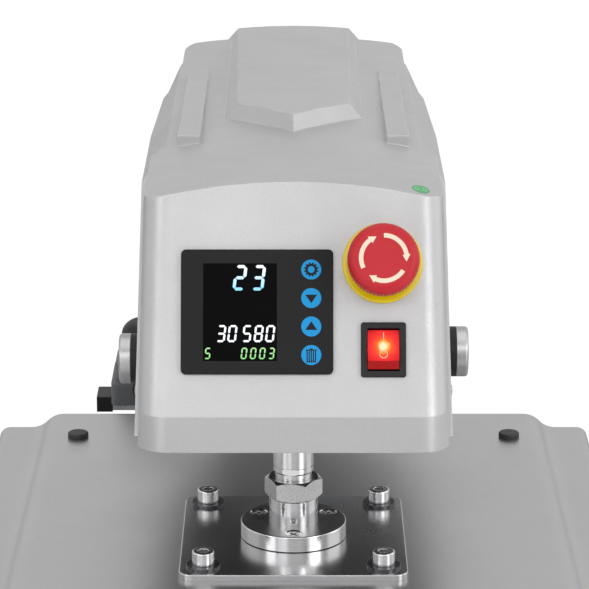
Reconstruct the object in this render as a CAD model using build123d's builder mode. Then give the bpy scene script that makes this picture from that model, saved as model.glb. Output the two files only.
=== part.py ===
from build123d import *
import math
import os

# Pneumatic heat press with a 400 x 500 mm platen on a swinging head. Millimetres.
# X runs to the operator's right, Y to the back, Z up. The origin lies on the bench, under the middle.
os.makedirs("parts", exist_ok=True)

# Plan of the machine
overall_depth = 640.0
column_back_margin = 70.0
reach = 320.0
platen_width = 400.0
platen_depth = 500.0

column_y = overall_depth / 2 - column_back_margin
rod_y = column_y - reach

# Heights, from the bench upwards
foot_height = 18.0
rail_height = 40.0
stand_height = 85.0
lower_platen_thickness = 12.0
pad_thickness = 8.0
press_stroke = 45.0
closed_clearance = 0.3
platen_thickness = 20.0
cover_height = 41.7
plate_thickness = 4.0
head_gap = 86.0

rail_top = foot_height + rail_height
stand_top = rail_top + stand_height
pad_bottom = stand_top + lower_platen_thickness
pad_top = pad_bottom + pad_thickness
platen_face = pad_top + press_stroke + closed_clearance
platen_top = platen_face + platen_thickness
cover_top = platen_top + cover_height
plate_top = cover_top + plate_thickness
head_bottom = plate_top + head_gap

# Fits, broken edges, and how far a cutting form runs past what it cuts
seat_gap = 0.02
running_gap = 0.05
free_gap = 0.3
edge_break = 1.0
cut_past = 1.0
cut_reach = overall_depth

# Base frame
rail_spacing = 300.0
rail_width = 50.0
tube_wall = 3.0
tube_radius = 5.0
cap_thickness = 5.0
cap_plug_length = 14.0
cross_offset = 120.0
column_plate_width = 350.0
column_plate_depth = 130.0
column_plate_thickness = 12.0
lug_size = 38.0
lug_thickness = 6.0
lug_end_margin = 40.0
bench_hole_radius = 5.5

rail_length = overall_depth - 2 * cap_thickness
rail_inner_x = rail_spacing / 2 - rail_width / 2
rail_outer_x = rail_spacing / 2 + rail_width / 2
lug_x = rail_outer_x + lug_size / 2
lug_spacing = overall_depth - 2 * lug_end_margin

# Feet
foot_end_margin = 85.0
foot_radius = 19.0
foot_sole_radius = 16.0
foot_recess_radius = 8.5
foot_recess_depth = 9.0
foot_stud_length = 9.0
m8_radius = 4.0
foot_spacing = overall_depth - 2 * foot_end_margin

# Lower platen stand
upright_width = 60.0
upright_depth = 40.0
stand_foot_width = 112.0
stand_foot_thickness = 6.0
stand_plate_width = 260.0
stand_plate_depth = 320.0
stand_plate_thickness = 8.0
stand_bolt_spacing = 90.0
stand_bolt_length = 12.0
m8_hex = 13.0
m8_hex_height = 5.3
platen_bolt_grip = 8.4
platen_bolt_hole_depth = 9.6
platen_corner_radius = 10.0
platen_bolt_x = 200.0
platen_bolt_y = 260.0

# Swing column
column_radius = 40.0
column_bore_radius = 32.0
column_flange_radius = 65.0
column_flange_thickness = 14.0
column_pitch_circle = 104.0
column_bolt_count = 6
m12_radius = 6.0
m12_hex = 19.0
m12_hex_height = 7.5
collar_radius = 55.0
collar_bottom = 250.0
collar_height = 30.0
washer_thickness = 3.0
bush_wall = 3.0
bush_length = 45.0
sleeve_wall = 10.0
retaining_cap_height = 6.0
retaining_cap_inset = 4.0
retaining_plug_length = 20.0
column_rise = 59.0
swing_range = 90.0
stop_pin_radius = 3.0
stop_pin_height = 7.0
stop_groove_depth = 8.0

sleeve_bore = column_radius + running_gap + bush_wall
sleeve_radius = sleeve_bore + sleeve_wall
sleeve_bottom = collar_bottom + collar_height + washer_thickness
stop_circle = (sleeve_bore + sleeve_radius) / 2

# Swing arm
arm_plate_gap = 2.0
arm_plate_thickness = 10.0
arm_half_width = 49.0
arm_side_thickness = 8.0
arm_side_height = 54.0
arm_roof_gap = 31.0
arm_side_margin = 4.0
rod_hole_margin = 3.0
arm_front_y = rod_y - 48.0
arm_bottom = head_bottom + arm_plate_gap
arm_floor = arm_bottom + arm_plate_thickness
arm_side_top = arm_floor + arm_side_height
column_top = arm_side_top + column_rise
sleeve_top = column_top - free_gap

# Cylinder, 63 mm bore
cylinder_size = 77.0
cylinder_corner = 12.0
cylinder_bore_radius = 31.5
cylinder_cap_height = 16.0
cylinder_end_play = 1.0
piston_thickness = 15.0
piston_groove = 3.0
cylinder_bolt_spacing = 56.5
m6_radius = 3.0
m6_head_radius = 5.0
m6_head_height = 6.0
rod_radius = 12.0
rod_thread_radius = 10.0
rod_spigot_radius = 8.0
guide_offset = 52.0
guide_radius = 7.0
guide_bush_radius = 11.0
guide_bush_length = 36.0
guide_top_margin = 5.0

barrel_length = press_stroke + piston_thickness + 2 * cylinder_end_play
barrel_bottom = arm_floor + cylinder_cap_height
barrel_top = barrel_bottom + barrel_length
cylinder_top = barrel_top + cylinder_cap_height
piston_top = barrel_top - cylinder_end_play
piston_bottom = piston_top - piston_thickness
guide_y = rod_y + guide_offset
arm_roof_y = guide_y + guide_radius + arm_roof_gap

# Rod end, hub and mounting plate
flange_radius = 31.5
flange_thickness = 9.75
hub_radius = 14.5
hub_height = 25.0
nut_across_flats = 30.0
nut_height = 12.0
nut_turn = 5.5
nut_bevel = 0.4
neck_radius = 11.0
neck_height = 3.6
wrench_flat_height = 3.9
wrench_flat_depth = 1.0
wrench_flat_turn = 10.0
rod_groove_width = 0.6
rod_groove_depth = 0.5
hub_screw_circle = 48.0
hub_screw_count = 3
hub_screw_head_radius = 5.2
hub_screw_recess = 0.5
hub_screw_thread_gap = 0.5
cross_width = 1.8
cross_length = 6.4
cross_depth = 2.5
flange_round = 0.8
hub_chamfer = 0.5
plate_size = 133.0
plate_corner_radius = 7.5
plate_chamfer = 0.4
plate_screw_spacing = 105.0
cap_head_radius = 6.5
cap_head_height = 8.2
cap_socket_hex = 6.0
cap_socket_depth = 4.0
cap_head_round = 0.9
washer_radius = 10.0
washer_round = 0.3
plate_washer_thickness = 1.6
platen_thread_depth = 14.0
standoff_radius = 9.0

hub_top = plate_top + hub_height
nut_top = hub_top + nut_height

# Platen cover, heater and insulation
cover_inset = 2.0
cover_sheet = 1.5
cover_flat_half_width = 155.0
cover_slope_width = 22.0
cover_slope_drop = 9.5
cover_edge_radius = 6.0
cover_corner_radius = 12.0
plug_x = 142.0
plug_y = 190.0
plug_radius = 6.75
plug_height = 3.5
plug_stem_radius = 4.5
insulation_inset = 12.0
insulation_thickness = 10.0
heater_radius = 4.0
heater_slot_gap = 0.3
heater_half_span = 150.0
heater_row_pitch = 88.0
heater_rows = 5
heater_bend_radius = 20.0
heater_tail = 15.0
probe_radius = 2.5
probe_bottom_gap = 2.0
probe_x = 40.0
probe_head_hex = 8.0
probe_head_height = 6.0

cover_half_width = platen_width / 2 - cover_inset
cover_depth = platen_depth - 2 * cover_inset
probe_y = rod_y + 1.5 * heater_row_pitch
heater_z = platen_top - heater_radius - heater_slot_gap
guide_screw_radius = 5.0
guide_top = arm_bottom + guide_bush_length + press_stroke + guide_top_margin

# Head cover
cover_wall = 2.5
panel_tilt = 22.0
panel_ahead = 99.0
strip_height = 21.0
front_half_width = 87.8
front_half_width_top = 84.5
side_half_width = 90.5
rear_half_width = 75.0
rear_shoulder_half_width = 86.0
front_corner_radius = 16.0
back_corner_radius = 28.0
roof_height = 143.7
crown_radius = 361.0
panel_edge_half_width = 76.0
shoulder_drop = 16.0
shoulder_width = 13.0
shoulder_diagonal = 8.6
rear_shoulder_drop = 20.0
hood_height = 9.5
hood_half_width = 40.2
hood_back_half_width = 40.4
hood_bevel = 8.0
hood_nose_bevel = 5.6
hood_root = 8.0
hood_fall = 0.95
hood_back_round = 16.5
strake_inner_x = 55.8
strake_width = 13.4
strake_height = 3.8
strake_sink = 3.4
strake_root = 14.0

strip_top = head_bottom + strip_height
roof_top = head_bottom + roof_height
form_top = roof_top + hood_height + cut_past
tilt_slope = math.tan(math.radians(panel_tilt))

# Places along the head, from its front and from the column
head_front_y = rod_y - panel_ahead
seam_bottom_y = head_front_y + 29.0
shoulder_front_y = head_front_y + 151.0
strake_front_y = head_front_y + 161.0
shoulder_full_y = head_front_y + 171.0
hood_nose_y = head_front_y + 172.5
seam_top_y = head_front_y + 177.0
hood_corner_y = head_front_y + 219.0
taper_start_y = column_y - 150.0
rear_shoulder_y = column_y - 63.0
strake_back_y = column_y - 55.0
taper_end_y = column_y - 10.0
head_back_y = column_y + 62.0

# Sheet that closes the head below, and the cover's screws
bottom_plate_thickness = 2.0
bottom_plate_z = arm_bottom - bottom_plate_thickness
cover_screw_z = head_bottom + 8.0
cover_screw_radius = 2.4
cover_screw_head_radius = 4.15
cover_screw_head_height = 2.5
cover_screw_dome_radius = 2.0
cover_screw_length = 7.5
cover_tab_width = 16.0
cover_tab_height = 14.0
rod_window_margin = 8.0
sheet_front_step = 12.0
sheet_side_step = 16.0

# Control panel, u across and v up the tilted face from its lower edge
controller_u = -20.35
controller_v = 58.9
controller_width = 85.1
controller_height = 70.0
controller_proud = 3.0
controller_corner = 2.8
controller_body_inset = 3.5
controller_body_depth = 15.0
controller_body_wall = 2.0
screen_u = -29.85
screen_v = 58.6
screen_width = 41.1
screen_height = 54.6
screen_thickness = 1.2
board_thickness = 1.6
chip_width = 14.0
chip_depth = 10.0
chip_height = 4.0
chip_pitch_u = 26.0
chip_pitch_v = 20.0
stop_u = 49.8
stop_v = 86.2
stop_disc_radius = 22.5
stop_disc_thickness = 3.0
stop_barrel_radius = 10.9
stop_neck_radius = 11.5
stop_neck_height = 15.0
stop_nut_radius = 16.0
stop_nut_thickness = 5.0
stop_block_size = 27.0
stop_block_depth = 20.0
mushroom_radius = 20.0
mushroom_bottom = 14.0
mushroom_top = 28.0
mushroom_recess_radius = 13.0
mushroom_recess_depth = 8.0
mushroom_round = 5.0
mushroom_wall = 4.0
rim_groove_radius = 0.45
rim_groove_count = 60
stop_travel = 4.5
stop_spare_travel = 2.0
spindle_radius = 4.0
rocker_u = 50.2
rocker_v = 37.7
rocker_width = 25.2
rocker_height = 30.7
rocker_proud = 2.2
rocker_corner = 1.5
rocker_round = 0.6
rocker_key_width = 17.4
rocker_key_height = 21.8
rocker_key_gap = 1.1
rocker_key_low = 1.2
rocker_key_crease = 4.6
rocker_key_foot = 1.6
rocker_key_depth = 6.5
rocker_crease_v = -6.1
rocker_root_half = 8.7
rocker_window_depth = 17.6
rocker_body_inset = 1.8
rocker_body_depth = 22.0
rocker_pivot_depth = 3.0
rocker_pin_radius = 1.2
rocker_pin_margin = 0.2

# Start buttons on the sides of the head
button_behind_rod = 29.0
right_button_z = head_bottom + 19.5
button_stagger = 4.4
button_radius = 15.0
button_collar_height = 6.5
button_bezel_height = 7.0
button_thread_radius = 10.5
button_body_depth = 28.0
button_nut_radius = 12.8
bezel_round = 1.8
plunger_radius = 9.0
plunger_sink = 0.5
plunger_well_depth = 16.8
plunger_length = 15.5

button_y = rod_y + button_behind_rod
cover_screw_ys = (button_y - 40.0, button_y + 56.0, taper_start_y - 12.0)

# Pressure regulator behind the head
regulator_x = -98.0
regulator_y = column_y - 7.0
bracket_depth = 22.0
bracket_height = 9.0
bracket_end_x = -136.0
bracket_cap_length = 11.0
bracket_cap_wall = 1.0
regulator_width = 56.0
regulator_block_height = 15.0
bonnet_width = 51.0
bonnet_height = 13.0
regulator_knob_radius = 21.5
regulator_knob_height = 24.0
knob_dome_radius = 9.6
knob_flute_radius = 0.7
knob_flute_length = 13.2
knob_flute_count = 24
knob_stem_length = 10.4
port_radius = 5.9
port_depth = 12.0
gauge_radius = 12.5
gauge_depth = 8.0
gauge_wall = 1.2
gauge_stem_radius = 3.5
gauge_stem_length = 6.0
needle_length = 8.5
needle_width = 0.9
needle_thickness = 0.6
needle_hub_radius = 1.6
needle_arbor_radius = 1.0
needle_rest_turn = 225.0

bracket_z = collar_bottom + 1.0
bracket_top = bracket_z + bracket_height
regulator_front_y = regulator_y - regulator_width / 2
gauge_z = bracket_top + 14.0
gauge_stem_z = bracket_top + 7.0
gauge_front_y = regulator_front_y - gauge_depth
needle_y = gauge_front_y + gauge_depth / 4
bonnet_top = bracket_top + regulator_block_height + bonnet_height
knob_bottom = bonnet_top + edge_break

# Electrics inside the head
relay_width = 44.0
relay_length = 58.0
relay_height = 24.0
relay_gap = 10.0
relay_terminal_width = 12.0
relay_terminal_length = 9.0
relay_terminal_height = 3.0
relay_terminal_inset = 8.0
valve_width = 27.0
valve_length = 88.0
valve_height = 28.0
valve_gap = 15.0
valve_port_radius = 4.0
valve_port_depth = 8.0
valve_port_offset = 7.0
coil_width = 22.0
coil_length = 30.0
coil_height = 22.0
moulding_radius = 2.0
gland_hex = 22.0
gland_radius = 8.0
gland_bore_radius = 5.2
gland_length = 20.0
gland_taper = 12.0
gland_thread_length = 6.0

relay_y = guide_y + guide_radius + relay_gap + relay_length / 2
valve_y = column_y - sleeve_radius - valve_gap - valve_length / 2
heater_gland_x = -62.0
heater_gland_y = column_y - 42.0
mains_gland_y = column_y + 12.0
mains_gland_z = head_bottom + 25.0


# Base frame: two long rails and two cross tubes of rectangular tube, the column plate and four bench lugs
with BuildPart() as base_frame:
    with BuildSketch(Plane.XZ.offset(rail_length / 2)):
        with Locations(
            (-rail_spacing / 2, foot_height + rail_height / 2),
            (rail_spacing / 2, foot_height + rail_height / 2),
        ):
            RectangleRounded(rail_width, rail_height, tube_radius)
            RectangleRounded(
                rail_width - 2 * tube_wall, rail_height - 2 * tube_wall, tube_radius - tube_wall,
                mode=Mode.SUBTRACT,
            )
    extrude(amount=-rail_length)
    with BuildSketch(Plane.YZ.offset(-rail_inner_x)):
        with Locations(
            (rod_y - cross_offset, foot_height + rail_height / 2),
            (rod_y + cross_offset, foot_height + rail_height / 2),
        ):
            Rectangle(rail_width, rail_height)
            Rectangle(rail_width - 2 * tube_wall, rail_height - 2 * tube_wall, mode=Mode.SUBTRACT)
    extrude(amount=2 * rail_inner_x)
    with BuildSketch(Plane.XY.offset(rail_top)):
        with Locations((0, column_y)):
            RectangleRounded(column_plate_width, column_plate_depth, platen_corner_radius)
        with Locations((0, column_y)):
            with PolarLocations(column_pitch_circle / 2, column_bolt_count):
                Circle(m12_radius + seat_gap, mode=Mode.SUBTRACT)
    extrude(amount=column_plate_thickness)
    with BuildSketch(Plane.XY.offset(foot_height)) as lugs:
        with GridLocations(2 * lug_x - tube_wall, lug_spacing, 2, 2):
            Rectangle(lug_size + tube_wall, lug_size)
        fillet(lugs.vertices().filter_by(lambda corner: abs(corner.X) > lug_x), radius=tube_radius)
        with GridLocations(2 * lug_x, lug_spacing, 2, 2):
            Circle(bench_hole_radius, mode=Mode.SUBTRACT)
    extrude(amount=lug_thickness)
    with BuildSketch(Plane.XY.offset(foot_height)):
        with GridLocations(rail_spacing, foot_spacing, 2, 2):
            Circle(m8_radius + seat_gap)
    extrude(amount=tube_wall, mode=Mode.SUBTRACT)
    with BuildSketch(Plane.XY.offset(rail_top)):
        with Locations((0, rod_y)):
            with GridLocations(stand_bolt_spacing, 2 * cross_offset, 2, 2):
                Circle(m8_radius + seat_gap)
    extrude(amount=-tube_wall, mode=Mode.SUBTRACT)
base_frame.part.label = "base_frame"
export_step(base_frame.part, "parts/base_frame.step")

# Black plastic caps that close the ends of the rails
with BuildPart() as rail_end_caps:
    for end in (-1, 1):
        with BuildSketch(Plane.XZ.offset(-end * rail_length / 2)):
            with GridLocations(rail_spacing, 0, 2, 1):
                with Locations((0, foot_height + rail_height / 2)):
                    RectangleRounded(rail_width, rail_height, tube_radius)
        extrude(amount=-end * cap_thickness)
        with BuildSketch(Plane.XZ.offset(-end * rail_length / 2)):
            with GridLocations(rail_spacing, 0, 2, 1):
                with Locations((0, foot_height + rail_height / 2)):
                    RectangleRounded(
                        rail_width - 2 * tube_wall - free_gap,
                        rail_height - 2 * tube_wall - free_gap,
                        tube_radius - tube_wall,
                    )
        extrude(amount=end * cap_plug_length)
    fillet(
        rail_end_caps.faces().filter_by(Axis.Y).group_by(Axis.Y)[0].edges()
        + rail_end_caps.faces().filter_by(Axis.Y).group_by(Axis.Y)[-1].edges(),
        radius=cap_thickness / 4,
    )
rail_end_caps.part.label = "rail_end_caps"
export_step(rail_end_caps.part, "parts/rail_end_caps.step")

# Rubber feet with moulded studs, screwed into the rails
with BuildPart() as rubber_feet:
    with GridLocations(rail_spacing, foot_spacing, 2, 2):
        Cone(
            foot_sole_radius, foot_radius, foot_height,
            align=(Align.CENTER, Align.CENTER, Align.MIN),
        )
        Cylinder(
            foot_recess_radius, foot_recess_depth,
            align=(Align.CENTER, Align.CENTER, Align.MIN), mode=Mode.SUBTRACT,
        )
    with Locations((0, 0, foot_height)):
        with GridLocations(rail_spacing, foot_spacing, 2, 2):
            Cylinder(
                m8_radius, foot_stud_length,
                align=(Align.CENTER, Align.CENTER, Align.MIN),
            )
rubber_feet.part.label = "rubber_feet"
export_step(rubber_feet.part, "parts/rubber_feet.step")

# Stand of the lower platen: two square uprights between foot plates and a top plate, welded
with BuildPart() as lower_stand:
    with BuildSketch(Plane.XY.offset(rail_top)):
        with Locations((0, rod_y)):
            with GridLocations(0, 2 * cross_offset, 1, 2):
                Rectangle(stand_foot_width, rail_width)
            with GridLocations(stand_bolt_spacing, 2 * cross_offset, 2, 2):
                Circle(m8_radius + free_gap, mode=Mode.SUBTRACT)
    extrude(amount=stand_foot_thickness)
    with BuildSketch(Plane.XY.offset(rail_top + stand_foot_thickness)):
        with Locations((0, rod_y)):
            with GridLocations(0, 2 * cross_offset, 1, 2):
                RectangleRounded(upright_width, upright_depth, tube_radius)
                RectangleRounded(
                    upright_width - 2 * tube_wall, upright_depth - 2 * tube_wall,
                    tube_radius - tube_wall, mode=Mode.SUBTRACT,
                )
    extrude(amount=stand_height - stand_foot_thickness - stand_plate_thickness)
    with BuildSketch(Plane.XY.offset(stand_top - stand_plate_thickness)):
        with Locations((0, rod_y)):
            RectangleRounded(stand_plate_width, stand_plate_depth, platen_corner_radius)
            with GridLocations(platen_bolt_x, platen_bolt_y, 2, 2):
                Circle(m8_radius + free_gap, mode=Mode.SUBTRACT)
    extrude(amount=stand_plate_thickness)
lower_stand.part.label = "lower_stand"
export_step(lower_stand.part, "parts/lower_stand.step")

# Hexagon bolts of the stand: four down into the cross tubes, four up into the lower platen
with BuildPart() as stand_bolts:
    with BuildSketch(Plane.XY.offset(rail_top + stand_foot_thickness)):
        with Locations((0, rod_y)):
            with GridLocations(stand_bolt_spacing, 2 * cross_offset, 2, 2):
                RegularPolygon(m8_hex / 2, 6, major_radius=False)
    extrude(amount=m8_hex_height)
    with BuildSketch(Plane.XY.offset(rail_top + stand_foot_thickness)):
        with Locations((0, rod_y)):
            with GridLocations(stand_bolt_spacing, 2 * cross_offset, 2, 2):
                Circle(m8_radius)
    extrude(amount=-stand_bolt_length)
    with BuildSketch(Plane.XY.offset(stand_top - stand_plate_thickness)):
        with Locations((0, rod_y)):
            with GridLocations(platen_bolt_x, platen_bolt_y, 2, 2):
                RegularPolygon(m8_hex / 2, 6, major_radius=False)
    extrude(amount=-m8_hex_height)
    with BuildSketch(Plane.XY.offset(stand_top - stand_plate_thickness)):
        with Locations((0, rod_y)):
            with GridLocations(platen_bolt_x, platen_bolt_y, 2, 2):
                Circle(m8_radius)
    extrude(amount=stand_plate_thickness + platen_bolt_grip)
stand_bolts.part.label = "stand_bolts"
export_step(stand_bolts.part, "parts/stand_bolts.step")

# Lower platen, tapped from below, under the pad
with BuildPart() as lower_platen:
    with BuildSketch(Plane.XY.offset(stand_top)):
        with Locations((0, rod_y)):
            RectangleRounded(platen_width, platen_depth, platen_corner_radius)
    extrude(amount=lower_platen_thickness)
    chamfer(lower_platen.edges().group_by(Axis.Z)[0], length=edge_break)
    with BuildSketch(Plane.XY.offset(stand_top)):
        with Locations((0, rod_y)):
            with GridLocations(platen_bolt_x, platen_bolt_y, 2, 2):
                Circle(m8_radius + seat_gap)
    extrude(amount=platen_bolt_hole_depth, mode=Mode.SUBTRACT)
lower_platen.part.label = "lower_platen"
export_step(lower_platen.part, "parts/lower_platen.step")

# Silicone sponge pad on the lower platen
with BuildPart() as silicone_pad:
    with BuildSketch(Plane.XY.offset(pad_bottom)):
        with Locations((0, rod_y)):
            RectangleRounded(platen_width, platen_depth, platen_corner_radius)
    extrude(amount=pad_thickness)
    fillet(silicone_pad.edges().group_by(Axis.Z)[-1], radius=edge_break)
silicone_pad.part.label = "silicone_pad"
export_step(silicone_pad.part, "parts/silicone_pad.step")

# Swing column: a thick tube on a bolted flange
with BuildPart() as column:
    with BuildSketch(Plane.XY.offset(rail_top + column_plate_thickness)):
        with Locations((0, column_y)):
            Circle(column_flange_radius)
            with PolarLocations(column_pitch_circle / 2, column_bolt_count):
                Circle(m12_radius + free_gap, mode=Mode.SUBTRACT)
    extrude(amount=column_flange_thickness)
    chamfer(column.edges().group_by(Axis.Z)[-1].sort_by(SortBy.LENGTH)[-1], length=2 * edge_break)
    with BuildSketch(Plane.XY.offset(rail_top + column_plate_thickness)):
        with Locations((0, column_y)):
            Circle(column_radius)
    extrude(amount=column_top - rail_top - column_plate_thickness)
    with BuildSketch(Plane.XY.offset(rail_top + column_plate_thickness)):
        with Locations((0, column_y)):
            Circle(column_bore_radius)
    extrude(amount=column_top - rail_top - column_plate_thickness, mode=Mode.SUBTRACT)
column.part.label = "column"
export_step(column.part, "parts/column.step")

# Bolts of the column flange
with BuildPart() as column_bolts:
    column_bolt_z = rail_top + column_plate_thickness + column_flange_thickness
    with BuildSketch(Plane.XY.offset(column_bolt_z)):
        with Locations((0, column_y)):
            with PolarLocations(column_pitch_circle / 2, column_bolt_count):
                RegularPolygon(m12_hex / 2, 6, major_radius=False)
    extrude(amount=m12_hex_height)
    with BuildSketch(Plane.XY.offset(column_bolt_z)):
        with Locations((0, column_y)):
            with PolarLocations(column_pitch_circle / 2, column_bolt_count):
                Circle(m12_radius)
    extrude(amount=-(column_flange_thickness + column_plate_thickness))
column_bolts.part.label = "column_bolts"
export_step(column_bolts.part, "parts/column_bolts.step")

# Support collar, clamped on the column; the head's weight rests on it
with BuildPart() as support_collar:
    with BuildSketch(Plane.XY.offset(collar_bottom)):
        with Locations((0, column_y)):
            Circle(collar_radius)
            Circle(column_radius + seat_gap, mode=Mode.SUBTRACT)
    extrude(amount=collar_height)
    chamfer(support_collar.edges().group_by(Axis.Z)[0].sort_by(SortBy.LENGTH)[-1], length=2 * edge_break)
    with BuildSketch(Plane.XY.offset(collar_bottom + collar_height)):
        with Locations((-stop_circle, column_y)):
            Circle(stop_pin_radius + seat_gap)
    extrude(amount=-collar_height / 2, mode=Mode.SUBTRACT)
support_collar.part.label = "support_collar"
export_step(support_collar.part, "parts/support_collar.step")

# Stop pin, pressed into the collar; it runs in a groove under the sleeve
with BuildPart() as stop_pin:
    with BuildSketch(Plane.XY.offset(collar_bottom + collar_height / 2)):
        with Locations((-stop_circle, column_y)):
            Circle(stop_pin_radius)
    extrude(amount=collar_height / 2 + washer_thickness + stop_pin_height)
stop_pin.part.label = "stop_pin"
export_step(stop_pin.part, "parts/stop_pin.step")

# Bronze thrust washer between collar and sleeve
with BuildPart() as thrust_washer:
    with BuildSketch(Plane.XY.offset(collar_bottom + collar_height)):
        with Locations((0, column_y)):
            Circle(collar_radius - edge_break)
            Circle(column_radius + free_gap, mode=Mode.SUBTRACT)
        with Locations((-stop_circle, column_y)):
            Circle(stop_pin_radius + free_gap, mode=Mode.SUBTRACT)
    extrude(amount=washer_thickness)
thrust_washer.part.label = "thrust_washer"
export_step(thrust_washer.part, "parts/thrust_washer.step")

# Cap on top of the column, which keeps the sleeve on it
with BuildPart() as retaining_cap:
    with BuildSketch(Plane.XY.offset(column_top)):
        with Locations((0, column_y)):
            Circle(sleeve_radius - retaining_cap_inset)
    extrude(amount=retaining_cap_height)
    chamfer(retaining_cap.edges().group_by(Axis.Z)[-1], length=edge_break)
    with BuildSketch(Plane.XY.offset(column_top)):
        with Locations((0, column_y)):
            Circle(column_bore_radius - seat_gap)
    extrude(amount=-retaining_plug_length)
retaining_cap.part.label = "retaining_cap"
export_step(retaining_cap.part, "parts/retaining_cap.step")

# Steel bar on the collar that carries the pressure regulator
with BuildPart() as regulator_bracket:
    bracket_length = -bracket_end_x - 2 * free_gap
    with BuildSketch(Plane.XY.offset(bracket_z)):
        with Locations((-bracket_length / 2, regulator_y)):
            Rectangle(bracket_length, bracket_depth)
        with Locations((0, column_y)):
            Circle(collar_radius + seat_gap, mode=Mode.SUBTRACT)
        with Locations((0, regulator_y)):
            Rectangle(collar_radius, bracket_depth, mode=Mode.SUBTRACT)
    extrude(amount=bracket_height)
regulator_bracket.part.label = "regulator_bracket"
export_step(regulator_bracket.part, "parts/regulator_bracket.step")

# Black end block pushed over the bar
with BuildPart() as bracket_end_cap:
    with BuildSketch(Plane.YZ.offset(bracket_end_x - bracket_cap_wall)):
        with Locations((regulator_y, bracket_z + bracket_height / 2)):
            Rectangle(bracket_depth + 2 * bracket_cap_wall, bracket_height + 2 * bracket_cap_wall)
    extrude(amount=bracket_cap_length)
    fillet(bracket_end_cap.edges().filter_by(Axis.X), radius=bracket_cap_wall / 2)
    with BuildSketch(Plane.YZ.offset(bracket_end_x)):
        with Locations((regulator_y, bracket_z + bracket_height / 2)):
            Rectangle(bracket_depth + 2 * seat_gap, bracket_height + 2 * seat_gap)
    extrude(amount=bracket_cap_length, mode=Mode.SUBTRACT)
bracket_end_cap.part.label = "bracket_end_cap"
export_step(bracket_end_cap.part, "parts/bracket_end_cap.step")

# Body of the pressure regulator: port block and round bonnet
with BuildPart() as regulator_body:
    with BuildSketch(Plane.XY.offset(bracket_top)):
        with Locations((regulator_x, regulator_y)):
            RectangleRounded(regulator_width, regulator_width, tube_radius)
    extrude(amount=regulator_block_height)
    with BuildSketch(Plane.XY.offset(bracket_top + regulator_block_height)):
        with Locations((regulator_x, regulator_y)):
            RectangleRounded(bonnet_width, bonnet_width, bonnet_width / 4)
    extrude(amount=bonnet_height)
    fillet(regulator_body.edges().group_by(Axis.Z)[-1], radius=2 * edge_break)
    with BuildSketch(Plane.YZ.offset(regulator_x - regulator_width / 2)):
        with Locations((regulator_y, bracket_top + regulator_block_height / 2)):
            Circle(port_radius)
    extrude(amount=port_depth, mode=Mode.SUBTRACT)
    with BuildSketch(Plane.XZ.offset(-regulator_front_y)):
        with Locations((regulator_x, gauge_stem_z)):
            Circle(gauge_stem_radius + seat_gap)
        with Locations((regulator_x, gauge_z)):
            Circle(needle_arbor_radius + running_gap)
    extrude(amount=-gauge_stem_length - edge_break, mode=Mode.SUBTRACT)
    with BuildSketch(Plane.XY.offset(bonnet_top)):
        with Locations((regulator_x, regulator_y)):
            Circle(spindle_radius + free_gap)
    extrude(amount=-bonnet_height, mode=Mode.SUBTRACT)
regulator_body.part.label = "regulator_body"
export_step(regulator_body.part, "parts/regulator_body.step")

# Domed adjusting knob of the regulator, on its threaded stem
with BuildPart() as regulator_knob:
    with BuildSketch(Plane.XY.offset(knob_bottom)):
        with Locations((regulator_x, regulator_y)):
            Circle(regulator_knob_radius)
    extrude(amount=regulator_knob_height)
    fillet(regulator_knob.edges().group_by(Axis.Z)[-1], radius=knob_dome_radius)
    with BuildSketch(Plane.XY.offset(knob_bottom)):
        with Locations((regulator_x, regulator_y)):
            with PolarLocations(regulator_knob_radius, knob_flute_count):
                Circle(knob_flute_radius)
    extrude(amount=knob_flute_length, mode=Mode.SUBTRACT)
    with BuildSketch(Plane.XY.offset(knob_bottom)):
        with Locations((regulator_x, regulator_y)):
            Circle(spindle_radius)
    extrude(amount=-knob_stem_length)
regulator_knob.part.label = "regulator_knob"
export_step(regulator_knob.part, "parts/regulator_knob.step")

# Small pressure gauge in the front of the regulator: an open cup with its dial as the floor
with BuildPart() as pressure_gauge:
    with BuildSketch(Plane.XZ.offset(-regulator_front_y)):
        with Locations((regulator_x, gauge_z)):
            Circle(gauge_radius)
    extrude(amount=gauge_depth)
    with BuildSketch(Plane.XZ.offset(-gauge_front_y)):
        with Locations((regulator_x, gauge_z)):
            Circle(gauge_radius - gauge_wall)
    extrude(amount=-gauge_depth / 2, mode=Mode.SUBTRACT)
    with BuildSketch(Plane.XZ.offset(-regulator_front_y)):
        with Locations((regulator_x, gauge_z)):
            Circle(needle_arbor_radius + running_gap)
    extrude(amount=gauge_depth, mode=Mode.SUBTRACT)
    with BuildSketch(Plane.XZ.offset(-regulator_front_y)):
        with Locations((regulator_x, gauge_stem_z)):
            Circle(gauge_stem_radius)
    extrude(amount=-gauge_stem_length)
pressure_gauge.part.label = "pressure_gauge"
export_step(pressure_gauge.part, "parts/pressure_gauge.step")

# Needle of the gauge, at zero, with its arbor
with BuildPart() as gauge_needle:
    with BuildSketch(Plane.XZ.offset(-needle_y)):
        with Locations((regulator_x, gauge_z)):
            Circle(needle_hub_radius)
        with Locations(Location((regulator_x, gauge_z, 0), (0, 0, needle_rest_turn))):
            with Locations((needle_length / 2 - needle_arbor_radius, 0)):
                Rectangle(needle_length, needle_width)
    extrude(amount=needle_thickness)
    with BuildSketch(Plane.XZ.offset(-needle_y)):
        with Locations((regulator_x, gauge_z)):
            Circle(needle_arbor_radius)
    extrude(amount=-gauge_depth / 2)
gauge_needle.part.label = "gauge_needle"
export_step(gauge_needle.part, "parts/gauge_needle.step")

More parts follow.
